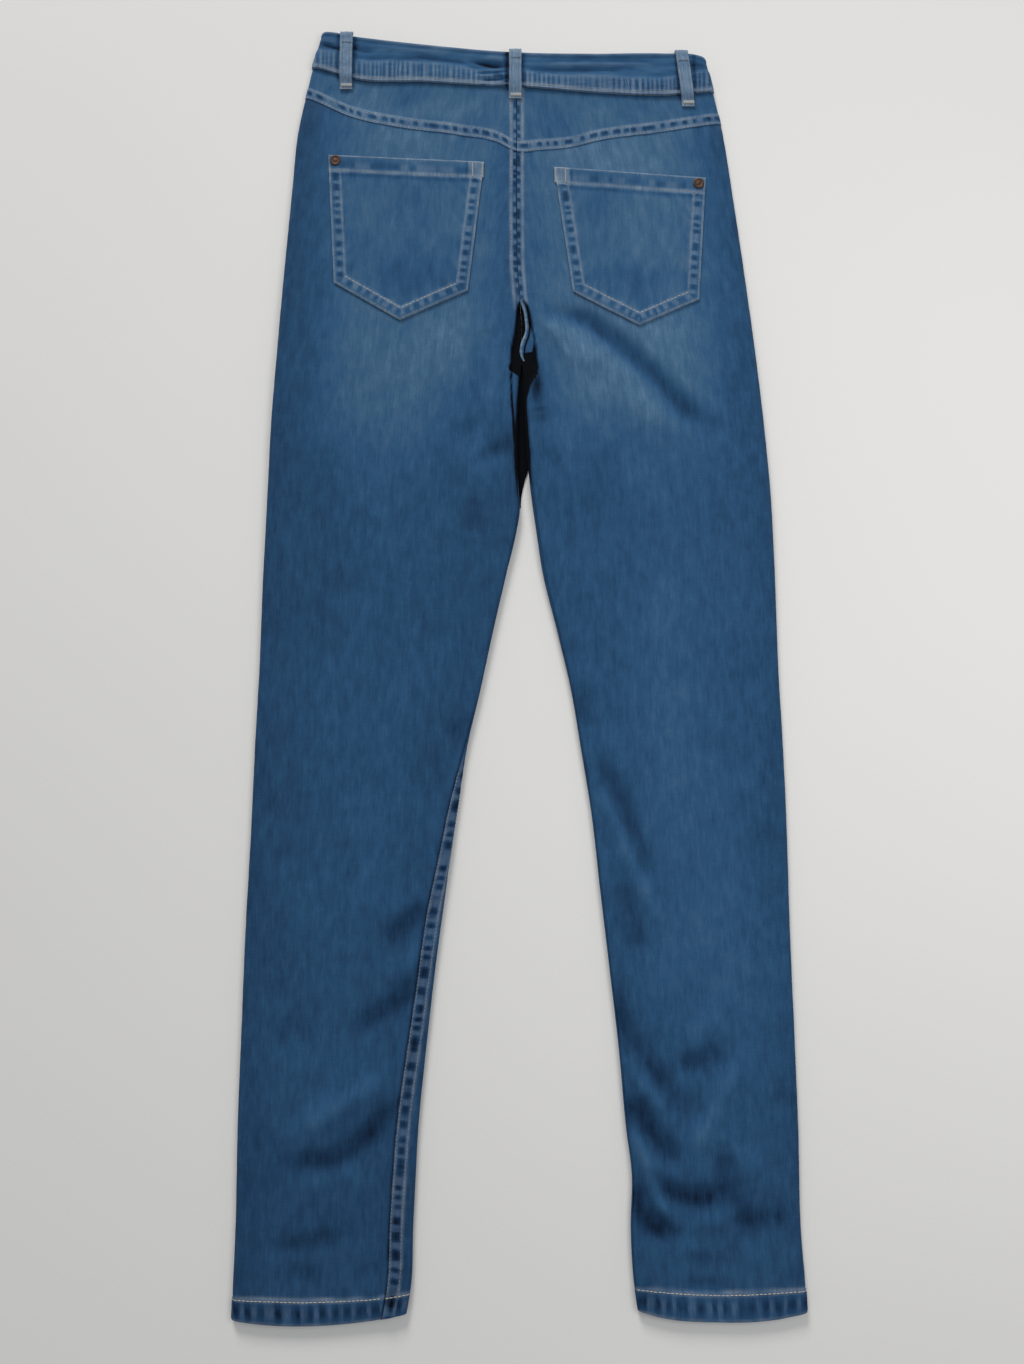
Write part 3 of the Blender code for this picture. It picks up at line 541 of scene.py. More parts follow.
denimLook = {
    "tones": [
        # the darkest tone serves the painted shade of the crotch hollow and the gap between the legs
        (0.00, tint(2, 5, 10)),
        (0.18, tint(21, 45, 72)),
        (0.36, tint(34, 66, 98)),
        (0.50, tint(43, 80, 115)),
        (0.64, tint(60, 93, 123)),
        (0.82, tint(86, 118, 147)),
        (1.00, tint(152, 166, 178)),
    ],
    "reverse": tint(120, 138, 156),
    "worn": tint(172, 178, 183),
    "streaks": 0.11,
    "threads": 0.20,
    "blotches": 0.20,
    "mottle": 0.32,
    "weft": 0.08,
    "twill": 0.018,
    "twillPitch": 0.00095,
    "surface": {"Roughness": 0.88, "Specular IOR Level": 0.08, "Sheen Weight": 0.015, "Sheen Roughness": 0.55},
}


def denim(name, lengthwise=True, blotchSeed=0.0):
    # tone = painted fade, with painted highlights on crease ridges, + slubs along the warp + thread grain + blotches +
    # mottling + twill,
    # lowered by deep: darker ropes along seams and painted shade in creases, hollows and gaps; the tone picks the
    # colour, and wear blends it towards bare grey threads
    look = denimLook
    finish = Finish(name, **look["surface"])
    place = finish.node("ShaderNodeUVMap", {"uv_map": "weave"}, {})
    u = finish.node("ShaderNodeSeparateXYZ", {}, {0: place}, 0)
    v = finish.node("ShaderNodeSeparateXYZ", {}, {0: place}, 1)
    if not lengthwise:
        u, v = v, u
    slubs = finish.noise(u * 420.0, v * 24.0, 3.0)
    warp = finish.noise(u * 1250.0, v * 75.0, 2.0)
    weft = finish.noise(u * 75.0, v * 1250.0, 2.0)
    blotch = finish.noise(u * 24.0 + blotchSeed, v * 13.0, 4.0, 0.6)
    mottle = finish.noise(u * 150.0 + blotchSeed, v * 58.0, 3.0, 0.6)
    turnRate = 2 * math.pi / look["twillPitch"]
    twill = (u * turnRate + v * (0.6 * turnRate)).math("SINE")
    worn, deep = finish.value("worn"), finish.value("deep")
    tone = (finish.value("fade") + (slubs - 0.5) * look["streaks"] + (warp - 0.5) * look["threads"]
            + (weft - 0.5) * look["weft"] + (blotch - 0.5) * look["blotches"] + twill * look["twill"]
            + (mottle - 0.5) * look["mottle"])
    # deep lowers the tone: darker ropes along the seams, and painted shade in creases, hollows and gaps
    tone = tone + worn * 0.10 - deep * 0.6
    colour = finish.node("ShaderNodeValToRGB", {"stops": look["tones"]}, {0: tone})
    colour = finish.mix(worn * (0.12 + warp * 0.62) - deep * 0.25, colour, look["worn"])
    colour = finish.mix(finish.value("reverse") - deep, colour, look["reverse"])
    height = twill * 0.35 + warp * 0.8 + weft * 0.6 + slubs * 0.5
    return finish.give(Base_Color=colour, Normal=finish.bump(height, 0.00022, 0.75))


def threadFinish(name, colour, shade):
    # share of colour over shade = 0.6 of fine fluff + 0.5 of slow change - 0.1
    finish = Finish(name, Roughness=0.75)
    fluff = finish.grain(900.0, 2.0)
    mixed = finish.mix(fluff * 0.6 + finish.grain(60.0, 1.0) * 0.5 - 0.1, tint(*shade), tint(*colour))
    return finish.give(Base_Color=mixed, Normal=finish.bump(fluff, 0.0001, 0.6))


finishes = {
    "leg": denim("legDenim"),
    "seat": denim("seatDenim", blotchSeed=3.1),
    "band": denim("waistbandDenim", lengthwise=False, blotchSeed=7.7),
    "loop": denim("loopDenim", blotchSeed=5.2),
    "paleThread": threadFinish("paleThread", (124, 138, 152), (78, 98, 120)),
    "creamThread": threadFinish("creamThread", (212, 200, 178), (160, 146, 126)),
    "tackThread": threadFinish("tackThread", (176, 176, 170), (128, 136, 144)),
}


# wear along sewn bands, with painted shade in the dips of the puckers beside them

def sewnBand(far, along, look, seed):
    # height, wear and depth of colour of a sewn band by distance from its edge: raised plateau, grooves at the
    # stitch rows, ropes along it as an uneven beat, and puckers that die out beside it, with painted shade in their
    # dips
    width, rows = look["width"], look["rows"]
    plateau = 1 - ease((far - width) / 0.0010)
    groove = sum(hump(far - row, 0.0007) for row in rows)
    beat = (along + 0.06 * far) / look["rope"] + 0.6 * wander(along, look["rope"] * 1.7, seed)
    rope = ((0.7 * np.sin(2 * math.pi * beat) + 0.6 * wander(along + 0.1 * far, look["rope"] * 0.21, seed + 1))
            * (1 + 0.45 * wander(along, look["rope"] * 3.3, seed + 5)))
    middle = hump(far - look["middle"] - 0.0004 * wander(along, 0.011, seed + 6), look["spread"])
    pucker = wander(along, 0.0042, seed + 2) + 0.5 * wander(along, 0.0021, seed + 3)
    beside = np.exp(-np.clip(far - width, 0, 1) / 0.0045) * ease((far - width) / 0.002)
    height = (look["raise"] * plateau - 0.00022 * groove * plateau + 0.00016 * rope * middle * plateau
              + look["pucker"] * pucker * beside)
    patches = ease(0.45 + 0.85 * rope)
    worn = (sum(hump(far - row, 0.0013) * (0.72 + 0.25 * wander(along, 0.0041, seed + 4)
                                           + 0.2 * wander(along + 9 * row, 0.013, seed + 7)) for row in rows)
            + 0.35 * middle * (1 - patches) + 0.10 * beside * np.clip(pucker, 0, 1))
    # darker ropes between the rows, and painted shade in the puckers' dips
    deep = look["dark"] * middle * patches + 0.10 * beside * np.clip(-pucker, 0, 1)
    return height, np.clip(worn, 0, 1.2) * look["worn"], deep


# middle in plan, half width and height, change of tone
washPatches = {
    "left": [
        (-0.125, 0.190, 0.030, 0.030, 0.04), (-0.060, 0.230, 0.030, 0.030, 0.04), (-0.120, -0.05, 0.04, 0.10, 0.02),
        (-0.150, -0.33, 0.035, 0.03, 0.03), (-0.140, -0.43, 0.040, 0.025, -0.04),
    ],
    "right": [
        (0.120, -0.080, 0.035, 0.090, 0.07), (0.150, -0.230, 0.045, 0.070, 0.05), (0.060, 0.205, 0.030, 0.030, 0.05),
        (0.130, 0.215, 0.035, 0.030, 0.03), (0.170, -0.425, 0.035, 0.025, -0.05),
        (0.110, -0.330, 0.030, 0.050, -0.02), (0.135, -0.385, 0.016, 0.016, 0.05),
    ],
}


def legFadeAndLight(side, x, y):
    # how faded the back is, 0 dark to 1 white: pale seat and upper thighs, darker sides and calves, and painted light:
    # the right leg a little lighter and the left a little darker
    turn, column = sides[side]
    outer, inner = smoothRead(outerEdges, column, y), smoothRead(innerEdges, column, y)
    middle = (outer + inner) / 2
    seat = (0.5 + 0.5 * np.tanh((y - 0.165) / 0.055)) * hump(np.abs(x - middle - turn * 0.012) ** 2, 0.075**2)
    patches = sum(change * hump(x - midX, wide) * hump(y - midY, tall)
                  for midX, midY, wide, tall, change in washPatches[side])
    # the last term is painted light: the right leg lighter and the left darker
    return (0.400 + 0.232 * seat + 0.04 * hump(x - middle, 0.045) - 0.04 * hump(x - outer, 0.016)
            - 0.02 * ease((-0.28 - y) / 0.18) + patches + (0.02 if side == "right" else -0.015))


# back legs

backLeg = {
    "rows": [(0.415, 0.404, 0.0011), (0.404, 0.282, 0.0019), (0.282, 0.168, 0.0011), (0.168, -0.440, 0.0026),
             (-0.440, -0.484, 0.0016), (-0.484, -0.506, 0.0008)],
    "nearOuter": metres(0, 0.8, 1.6, 2.6, 3.8, 5.2, 6.8, 8.6, 10.6),
    "nearInner": metres(19.6, 17.6, 15.8, 14.2, 12.6, 11, 9.6, 8.4, 7.4, 6.5, 5.8, 5.2, 4.4, 3.7, 2.9, 2.1, 1.4, 0.7,
                        0),
    "steps": 62,
    "straightFrom": 0.350,
    "straightTo": -0.440,
    "seatBand": {"width": 0.0055, "rows": [0.0044], "middle": 0.0012, "spread": 0.0013, "raise": 0.0005,
                 "rope": 0.0092, "pucker": 0.00016, "dark": 0.55, "worn": 0.82},
    "seatBandEnd": (0.264, 0.010),
    "hemBand": {"width": 0.0164, "rows": [0.0160], "middle": 0.0084, "spread": 0.0052, "raise": 0.0006,
                "rope": 0.0112, "pucker": 0.00022, "dark": 0.40, "worn": 0.42},
}


def hemBend(side, base, x):
    # shift of a row towards the hem's bowed edge, growing evenly from straightTo down to the edge
    weight = np.clip((backLeg["straightTo"] - base) / (backLeg["straightTo"] + 0.506), 0, 1)
    return weight * (smoothRead(hems[side], 1, x) + 0.506)


def hemPlace(side, x, y):
    # height over the hem's edge, as a share of the hem's depth times the plain depth
    low = smoothRead(hems[side], 1, x)
    return (y - low) / (smoothRead(hemRows[side], 1, x) - low) * 0.0160


# y, left and right edge of the hollow at the crotch
crotchHollow = metres(
    (276, 0.5, 3.2), (270, -1, 6.2), (264, -2.2, 8.4), (257, -2.8, 9.8), (250, -3.6, 10.6), (240, -5.2, 12.2),
    (231, -6.6, 13.6), (222, -7, 14.2), (215, -7, 14.3), (213, -4, 13.6), (211, -0.8, 12.4), (206, -0.2, 9.8),
    (198, -0.2, 7.2), (190, -0.2, 5.4), (180, -0.4, 5),
)


def hollowShare(x, y):
    # 1 inside the hollow's outline in plan and 0 outside it, eased over a short way at its rim
    left, right = smoothRead(crotchHollow, 1, y), smoothRead(crotchHollow, 2, y)
    inside = np.minimum(x - left, right - x) + 0.0003 * wander(y, 0.009, 620)
    return ease(inside / 0.0026 + 0.5) * ease((0.276 - y) / 0.008) * ease((y - 0.176) / 0.012)


def sink(grid, hollow):
    # lowers a grid in the hollow by a set part of its height over the hollow's floor
    grid[..., 2] -= hollow * np.clip(grid[..., 2] - jeans["hollowFloor"], 0, 1) * jeans["hollowDepth"]


def makeBackLeg(side):
    # rows are bent to the yoke seam at the top and the hem at the bottom; columns run from the side seam
    # to the inseam over the flattened tube
    look, (turn, column) = backLeg, sides[side]
    base = rowStops(*look["rows"])[:, None]
    stops = spread(look["nearOuter"], look["nearInner"], look["steps"])
    gap = jeans["seamGap"]

    def placeAt(y):
        ends = tubeSizes(side, y)["over"] - gap / 2, inseamShift(side, y) + gap / 2
        return overTop(side, y, stopsBetween(*ends, stops))

    def bend(x):
        weight = np.clip((base - look["straightFrom"]) / (0.415 - look["straightFrom"]), 0, 1)
        return base + weight * (smoothRead(yokeSeam, 1, x) - gap / 2 - 0.415) + hemBend(side, base, x)

    grid = settle(placeAt, bend, base + 0 * stops[0])
    x, y = grid[..., 0], grid[..., 1]
    fromInner = runBack(grid)
    fromOuter = fromInner[:, :1] - fromInner
    fromHem = hemPlace(side, x, y)
    fromYoke = smoothRead(yokeSeam, 1, x) - y

    band, bandWorn, bandDeep = sewnBand(fromInner, y, look["seatBand"], 11 + column)
    share = np.clip((y - look["seatBandEnd"][0]) / look["seatBandEnd"][1], 0, 1)
    hem, hemWorn, hemDeep = sewnBand(fromHem, fromOuter, look["hemBand"], 31 + column)
    nearHem = fromHem < 0.05
    pucker = wander(x, 0.0050, 51 + column) + 0.5 * wander(x, 0.0024, 52 + column)
    belowYoke = np.exp(-fromYoke / 0.006)
    sidePucker = wander(y, 0.0060, 61 + column) * np.exp(-fromOuter / 0.006)
    inseamPucker = wander(y, 0.0055, 71 + column) * np.exp(-fromInner / 0.005) * (1 - share)
    height = (band * share + np.where(nearHem, hem, 0) + 0.00013 * pucker * belowYoke
              + 0.00010 * sidePucker + 0.00012 * inseamPucker)
    height -= 0.0004 * hump(fromHem, 0.0009)
    grid = grid + normals(grid, turn) * height[..., None]

    hollow = hollowShare(x, y)
    sink(grid, hollow)
    # painted shade: near black in the crotch hollow and along the inner edge in the gap between the legs, with a thin
    # dark line and a dark spot on the left leg and a soft dark patch on the right
    pit = 1.3 * hollow + 0.9 * hump(fromInner, 0.0022) * ease((0.24 - y) / 0.02) * ease((y - 0.105) / 0.03)
    if side == "left":
        line = 0.0066 - 0.0022 * ease((0.205 - y) / 0.045)
        pit += 1.0 * hump(x + line, 0.0009) * ease((0.222 - y) / 0.006) * ease((y - 0.150) / 0.020)
        pit += 0.5 * hump(x + 0.0020, 0.0030) * hump(y - 0.146, 0.008)
    else:
        pit *= 1 - 0.7 * ease((0.150 - y) / 0.020)
        pit += 0.75 * hump(x - 0.0135, 0.0046) * hump(y - 0.203, 0.014)
    # painted shade in the crease troughs and painted highlight on the crease ridges
    troughShade, ridgeHighlight = creaseShading(side, x, y)
    worn = bandWorn * share + np.where(nearHem, hemWorn, 0) + 0.10 * np.clip(pucker, 0, 1) * belowYoke
    worn += 0.34 * hump(fromHem - 0.0006, 0.0013) * (1 + 0.5 * wander(x, 0.004, 9))
    worn += 0.34 * hump(fromHem - 0.0180, 0.0012) * (1 + wander(x, 0.011, 8))
    # deep: darker ropes at the seat seam and hem, plus painted shade: a shadow line under the yoke seam, the crotch
    # hollow, the crease troughs, the dips of the puckers below the yoke and a line along the inner edge below the
    # crotch
    deep = bandDeep * share + np.where(nearHem, hemDeep, 0) + 0.24 * hump(fromYoke, 0.0011) + pit + troughShade
    deep += 0.12 * np.clip(-pucker, 0, 1) * belowYoke + 0.25 * hump(fromInner, 0.0012) * (1 - share)
    made = clothPiece("clothBack" + side.capitalize(), grid, turn, jeans["cloth"], "leg",
                      np.stack([turn * fromOuter, y], axis=-1), "leg_denim", "back_leg_" + side,
                      fade=legFadeAndLight(side, x, y) + ridgeHighlight, worn=worn, deep=deep)
    return made, grid, fromInner


backs = {side: makeBackLeg(side) for side in sides}
print("back legs made")


# yokes

yoke = {
    "low": metres(0, 0.5, 1, 1.5, 2.1, 2.8, 3.6, 4.4, 5.2, 6, 6.8, 7.6, 8.3, 9, 9.7, 10.5, 11.5),
    "high": metres(3, 2, 1, 0),
    "steps": 26,
    "across": 96,
    "seamBand": {"width": 0.0092, "rows": [0.0015, 0.0083], "middle": 0.0053, "spread": 0.0019, "raise": 0.0005,
                 "rope": 0.0096, "pucker": 0.00014, "dark": 0.60, "worn": 0.82},
    # soft shade: middle in plan, reach along and across its slant, slant in degrees, change of tone
    "shades": [
        ((-0.094, 0.4480), 0.016, 0.007, 20, 0.07), ((-0.040, 0.4420), 0.030, 0.006, 38, -0.07),
        ((0.030, 0.4350), 0.024, 0.010, -25, 0.07), ((0.060, 0.4370), 0.020, 0.006, 20, -0.05),
        ((0.120, 0.4400), 0.020, 0.008, 10, -0.04), ((-0.150, 0.4570), 0.012, 0.006, -15, 0.06),
    ],
}


def makeYoke(side):
    # between the yoke seam and the waist seam, over the same tube as the back leg
    look, (turn, column) = yoke, sides[side]
    stops = spread(backLeg["nearOuter"], backLeg["nearInner"], look["across"])
    levels = spread(look["low"], look["high"], look["steps"])[:, ::-1, None]
    gap = jeans["seamGap"]

    def placeAt(y):
        return overTop(side, y, stopsBetween(tubeSizes(side, y)["over"] - gap / 2, gap / 2 + 0 * y, stops))

    def bend(x):
        return stopsBetween(smoothRead(yokeSeam, 1, x) + gap / 2, smoothRead(waistSeam, 1, x) - gap / 2, levels)

    grid = settle(placeAt, bend, np.full((levels.shape[1], stops.shape[1]), 0.43))
    x, y = grid[..., 0], grid[..., 1]
    fromInner = runBack(grid)
    fromOuter = fromInner[:, :1] - fromInner
    fromSeam = y - smoothRead(yokeSeam, 1, x)
    fromWaist = smoothRead(waistSeam, 1, x) - y
    low, lowWorn, lowDeep = sewnBand(fromSeam, x, look["seamBand"], 81 + column)
    centre, centreWorn, centreDeep = sewnBand(fromInner, y, backLeg["seatBand"], 11 + column)
    pucker = wander(x, 0.0060, 91 + column) * np.exp(-fromWaist / 0.008)
    height = np.maximum(low, centre) + 0.00018 * pucker
    grid = grid + normals(grid, turn) * height[..., None]
    above = ease((fromSeam - 0.006) / 0.006)
    shade = np.zeros(x.shape)
    for (midX, midY), reach, breadth, slant, change in look["shades"]:
        cosine, sine = math.cos(math.radians(slant)), math.sin(math.radians(slant))
        farAlong = (x - midX) * cosine + (y - midY) * sine
        farAcross = (y - midY) * cosine - (x - midX) * sine
        shade += change * hump(farAlong, reach) * hump(farAcross, breadth)
    grid[..., 2] -= 0.0045 * shade
    # deep: darker ropes along the seams, plus a painted shadow line just under the waist seam
    made = clothPiece("clothYoke" + side.capitalize(), grid, turn, jeans["cloth"], "seat",
                      np.stack([turn * fromOuter, y], axis=-1), "seat_denim", "yoke_" + side,
                      fade=-shade + 0.60 + 0.05 * dapple(x, y, 0.030, 0.020, 17) - 0.06 * hump(fromOuter, 0.02),
                      worn=lowWorn + centreWorn * above,
                      deep=lowDeep + centreDeep * above + 0.30 * hump(fromWaist, 0.0014))
    return made, grid, fromSeam


yokes = {side: makeYoke(side) for side in sides}
print("yokes made")


# front legs and fly, on the hidden side but for the left inseam's strip

frontLeg = {
    "rows": {
        "left": [(0.445, 0.300, 0.0035), (0.300, 0.180, 0.0025), (0.180, -0.060, 0.0032), (-0.060, -0.484, 0.0015),
                 (-0.484, -0.506, 0.0009)],
        "right": [(0.445, 0.300, 0.0035), (0.300, 0.180, 0.0025), (0.180, -0.470, 0.0030), (-0.470, -0.506, 0.0010)],
    },
    "nearInner": metres(0, 0.6, 1.2, 2, 2.8, 3.7, 4.6, 5.5, 6.4, 7.3, 8.1, 8.8, 9.5, 10.2, 11, 11.9, 12.9, 14, 15,
                        16, 17, 18, 19, 20, 21.2, 22.5, 24, 26),
    "nearOuter": metres(5.2, 3.8, 2.6, 1.6, 0.8, 0),
    "steps": 40,
    "inseamBand": {"width": 0.0102, "rows": [0.0012, 0.0095], "middle": 0.0054, "spread": 0.0030, "raise": 0.0005,
                   "rope": 0.0105, "pucker": 0.00012, "dark": 0.45, "worn": 0.56},
    "seamDip": 0.010,
    "edgeDip": 0.003,
    "dipReach": 0.166,
    "dipMiddle": -0.0055,
}
fly = {"width": 0.036, "length": 0.150, "curve": 0.040}


# creases of the hidden front in millimetres: half width, depth, then x, y of each point
underCreases = {
    "left": [
        (6, 1, -20, 235, -60, 262, -110, 272), (7, 0.9, -22, 210, -70, 222, -120, 218),
        (7, 0.9, -60, -90, -110, -105, -160, -98), (8, 0.7, -75, -140, -120, -150, -150, -143),
        (7, 1, -110, -400, -150, -408, -185, -402), (6, 0.8, -120, -438, -160, -446),
    ],
    "right": [
        (6, 1, 22, 238, 65, 258, 105, 264), (7, 0.8, 28, 205, 75, 212, 130, 204),
        (7, 0.9, 65, -85, 115, -98, 160, -90), (8, 0.7, 85, -150, 125, -156, 150, -148),
        (7, 1, 110, -395, 150, -405, 180, -398), (6, 0.8, 118, -440, 150, -452),
    ],
}


def frontDip(x):
    # 1 less the square of the distance from the middle over the reach
    return np.clip(1 - ((x - frontLeg["dipMiddle"]) / frontLeg["dipReach"]) ** 2, 0, 1)


def frontSeamAt(x):
    # the straight line of the table less the dip
    return straightRead(frontSeam, 1, x) - frontLeg["seamDip"] * frontDip(x)


def frontEdgeAt(x):
    # the same for the waistband's edge
    return straightRead(frontEdge, 1, x) - frontLeg["edgeDip"] * frontDip(x)


def flyWidth(y):
    # straight down, then a quarter ellipse to the centre
    below = (frontSeamAt(0.0) - y) - (fly["length"] - fly["curve"])
    return fly["width"] * np.sqrt(1 - np.clip(below / fly["curve"], 0, 1) ** 2)


def flyOpening(side, y):
    # how far the front's edge keeps off the centre: the fly's width above the crotch, on the left alone
    return flyWidth(y) * (y > jeans["crotch"]) * (side == "left")


def makeFrontLeg(side):
    # columns run from the inseam over the inner edge and along the underside to the side seam
    look, (turn, column) = frontLeg, sides[side]
    base = rowStops(*look["rows"][side])[:, None]
    stops = spread(look["nearInner"], look["nearOuter"], look["steps"])
    gap = jeans["seamGap"]

    def placeAt(y):
        start = np.where(y < jeans["crotch"], inseamShift(side, y), -flyOpening(side, y)) - gap / 2
        far = stopsBetween(start, -(tubeSizes(side, y, 0.005)["below"] - gap / 2), stops)
        topX, topZ = overTop(side, y, np.clip(far, 0, 1))
        lowX, lowZ = underneath(side, y, np.clip(-far, 0, 1))
        return np.where(far > 0, topX, lowX), np.where(far > 0, topZ, lowZ)

    def bend(x):
        weight = np.clip((base - backLeg["straightFrom"]) / (0.445 - backLeg["straightFrom"]), 0, 1)
        return base + weight * (frontSeamAt(x) - gap - 0.445) + hemBend(side, base, x)

    grid = settle(placeAt, bend, base + 0 * stops[0])
    x, y = grid[..., 0], grid[..., 1]
    fromInseam = runAcross(grid)
    fromHem = hemPlace(side, x, y)
    onTop = ease((inseamShift(side, y) - 0.0030) / 0.0040) * (y < 0)
    band, bandWorn, bandDeep = sewnBand(fromInseam, y, look["inseamBand"], 101 + column)
    hem, hemWorn, hemDeep = sewnBand(fromHem, fromInseam, backLeg["hemBand"], 111 + column)
    nearHem = (fromHem < 0.03) * 1.0
    upper = np.clip(normals(grid, turn)[..., 2], 0, 1)
    ripples = 0.00035 * np.clip(dapple(x, y, 0.050, 0.030, 121 + column), 0, 1)
    wrinkle = np.zeros(x.shape)
    for width, high, *places in underCreases[side]:
        wrinkle += high * 0.001 * hump(nearLine(onPlan(places), x, y)[0], width * 0.001)
    inside = np.clip(np.minimum(fromInseam - 0.026, fromInseam[:, -1:] - fromInseam - 0.006) / 0.012, 0, 1)
    height = band * onTop + nearHem * hem * upper - (ripples + wrinkle) * inside * (1 - upper)
    grid = grid + normals(grid, turn) * height[..., None]
    hollow = hollowShare(x, y) * (grid[..., 2] > 0.004)
    sink(grid, hollow)
    # painted shade: near black in the crotch hollow and in the gap between the legs, and a dark line along the inseam's
    # edge where it lies on top
    gapShade = 1.2 * hump(fromInseam, 0.0060) * ease((0.26 - y) / 0.02) * ease((y - 0.118) / 0.02)
    ropes = nearHem * (1 - onTop * (fromInseam < 0.0105) * 0.6)
    worn = (bandWorn * onTop * (1 - 0.4 * nearHem * (fromHem < 0.015)) + ropes * hemWorn
            + 0.22 * hump(fromHem - 0.0182, 0.0012))
    deep = bandDeep * onTop + ropes * hemDeep + 0.42 * hump(fromInseam, 0.0010) * onTop + 1.3 * hollow + gapShade
    weave = np.stack([turn * (fromInseam + flyOpening(side, y)) + 0.3, y], axis=-1)
    made = clothPiece("clothFront" + side.capitalize(), grid, turn, jeans["cloth"], "leg", weave, "leg_denim",
                      "front_leg_" + side, fade=legFadeAndLight(side, x, y) - 0.02, worn=worn, deep=deep)
    return made, grid


fronts = {side: makeFrontLeg(side) for side in sides}
print("front legs made")


crotch = {
    # path of the seam down into the hollow, and its half width
    "seam": metres(
        (1.2, 274.5, 8), (3, 270, 7.6), (4.6, 265, 7.2), (5.6, 258, 6.8), (6.1, 250, 6.4), (5, 245, 6),
        (3.2, 240.5, 5.6), (1.8, 235, 5.2), (1.8, 230, 4.8), (3, 226, 4.4), (4, 224.5, 4.1),
    ),
    "half": 0.0014,
    "reach": 0.0078,
    "foldTop": 0.223,
    "foldLow": 0.104,
}


def makeCrotch():
    # seam: a low arch carried along its path, with a flat lobe of cloth on its right, darkened with painted shade
    # beside the seam and past the lobe;
    # fold: the front's cloth that closes the gap between the legs, painted fully dark as the shade in that gap
    path = crotch["seam"]
    run = runAlong(path)
    at = np.linspace(0, run[-1], 70)
    centre = np.stack([smoothRead(np.column_stack([run, path]), axis, at) for axis in (1, 2, 3)], axis=-1)
    ahead = np.gradient(centre, axis=0)
    aside = np.stack([-ahead[:, 1], ahead[:, 0], 0 * at], axis=-1)
    aside /= np.linalg.norm(aside, axis=1, keepdims=True)
    across = np.concatenate([np.linspace(-1, 1, 13), np.linspace(1.1, 2.0, 15)])
    done = at / run[-1]
    taper = (0.6 + 0.4 * ease((1 - done) / 0.12))[:, None]
    lobe = (ease((done - 0.40) / 0.16) * ease((0.90 - done) / 0.06))[:, None]  # the front's cloth beside the seam
    place = (np.clip(across, -1, 1) * crotch["half"] * taper * (1 + 0.12 * wander(at, 0.007, 603)[:, None])
             + np.clip(across - 1, 0, 1) * (0.0002 + crotch["reach"] * lobe))
    grid = centre[:, None] + aside[:, None] * place[..., None]
    grid[..., 2] += (0.0006 * np.clip(1 - across**2, 0, 1) - 0.0005 * hump(across - 1.12, 0.08)
                     - 0.0007 * np.clip(across - 1, 0, 1) ** 2)
    nap = wander(at, 0.0019, 601)[:, None] + 0.5 * wander(at, 0.0009, 602)[:, None]
    worn = (0.75 * hump(across + 0.35, 0.55) + 0.25 * nap) * (across < 1.01) * (0.5 + 0.5 * ease(done / 0.25))[:, None]
    # painted shade: a dark line just beside the seam, the lobe's far end and the strip where the lobe is missing
    deep = (0.22 * hump(across - 0.25, 0.25) * np.clip(0.6 + 0.8 * nap, 0, 1) + 1.1 * hump(across - 1.14, 0.09)
            + 0.9 * ease((across - 1.85) / 0.15) + (across > 1.05) * (1 - lobe) * 1.2)
    seam = clothPiece("clothCrotchSeam", grid, 1, 0.0008, "seat", grid[..., :2], "leg_denim",
                      fade=0.56 - 0.07 * (across > 1), worn=np.clip(worn, 0, 1), deep=deep)
    rows = np.linspace(crotch["foldTop"], crotch["foldLow"], 110)[:, None]
    share = np.linspace(-1, 1, 19)[None, :]
    left = smoothRead(innerEdges, 1, rows) - 0.0024
    right = smoothRead(innerEdges, 2, rows) + 0.0024 * ease((rows - 0.125) / 0.02)
    narrow = ease((rows - crotch["foldLow"]) / 0.040)
    x = left + (right - left) * (0.5 + 0.5 * share) * (0.25 + 0.75 * narrow)
    crown = 0.0005 + 0.0007 * (1 - share**2) * narrow
    fold = np.stack([x, rows + 0 * share, crown], axis=-1)
    # the fold is painted as dark as the tones go, standing in for the shade between the legs
    shadeFold = clothPiece("clothCrotchShadeFold", fold, 1, 0.0004, "leg", fold[..., :2], "leg_denim",
                     fade=0.30, worn=0.0, deep=1.0)
    return seam, shadeFold


crotchPieces = makeCrotch()
print("crotch made")


def makeFly():
    # strip between the left front's curved edge and the centre, facing the floor
    rows = np.linspace(0, 1, 90)[:, None]
    across = np.linspace(0, 1, 22)[None, :]
    top, gap = frontSeamAt(0.0), jeans["seamGap"]
    tip = top - (fly["length"] - fly["curve"]) - 0.992 * fly["curve"]

    def placeAt(y):
        x = smoothRead(innerEdges, 1, y) - across * (flyWidth(y) - gap)
        return x, 0 * x

    def bend(x):
        return (frontSeamAt(x) - gap) * (1 - rows) + tip * rows

    grid = settle(placeAt, bend, top + (tip - top) * rows + 0 * across)
    fromEdge = runBack(grid)
    worn = 0.5 * hump(fromEdge - 0.0020, 0.0013) + 0.4 * hump(fromEdge - 0.0080, 0.0013)
    grid[..., 2] += 0.00025 * hump(fromEdge - 0.0050, 0.0040) * (1 - worn)
    made = clothPiece("clothFly", grid, 1, 0.0011, "leg", grid[..., :2], "leg_denim", "fly",
                      fade=0.43, worn=worn, deep=0.3 * hump(fromEdge - 0.005, 0.0015))
    return made, grid


flyStrip = makeFly()
print("fly made")


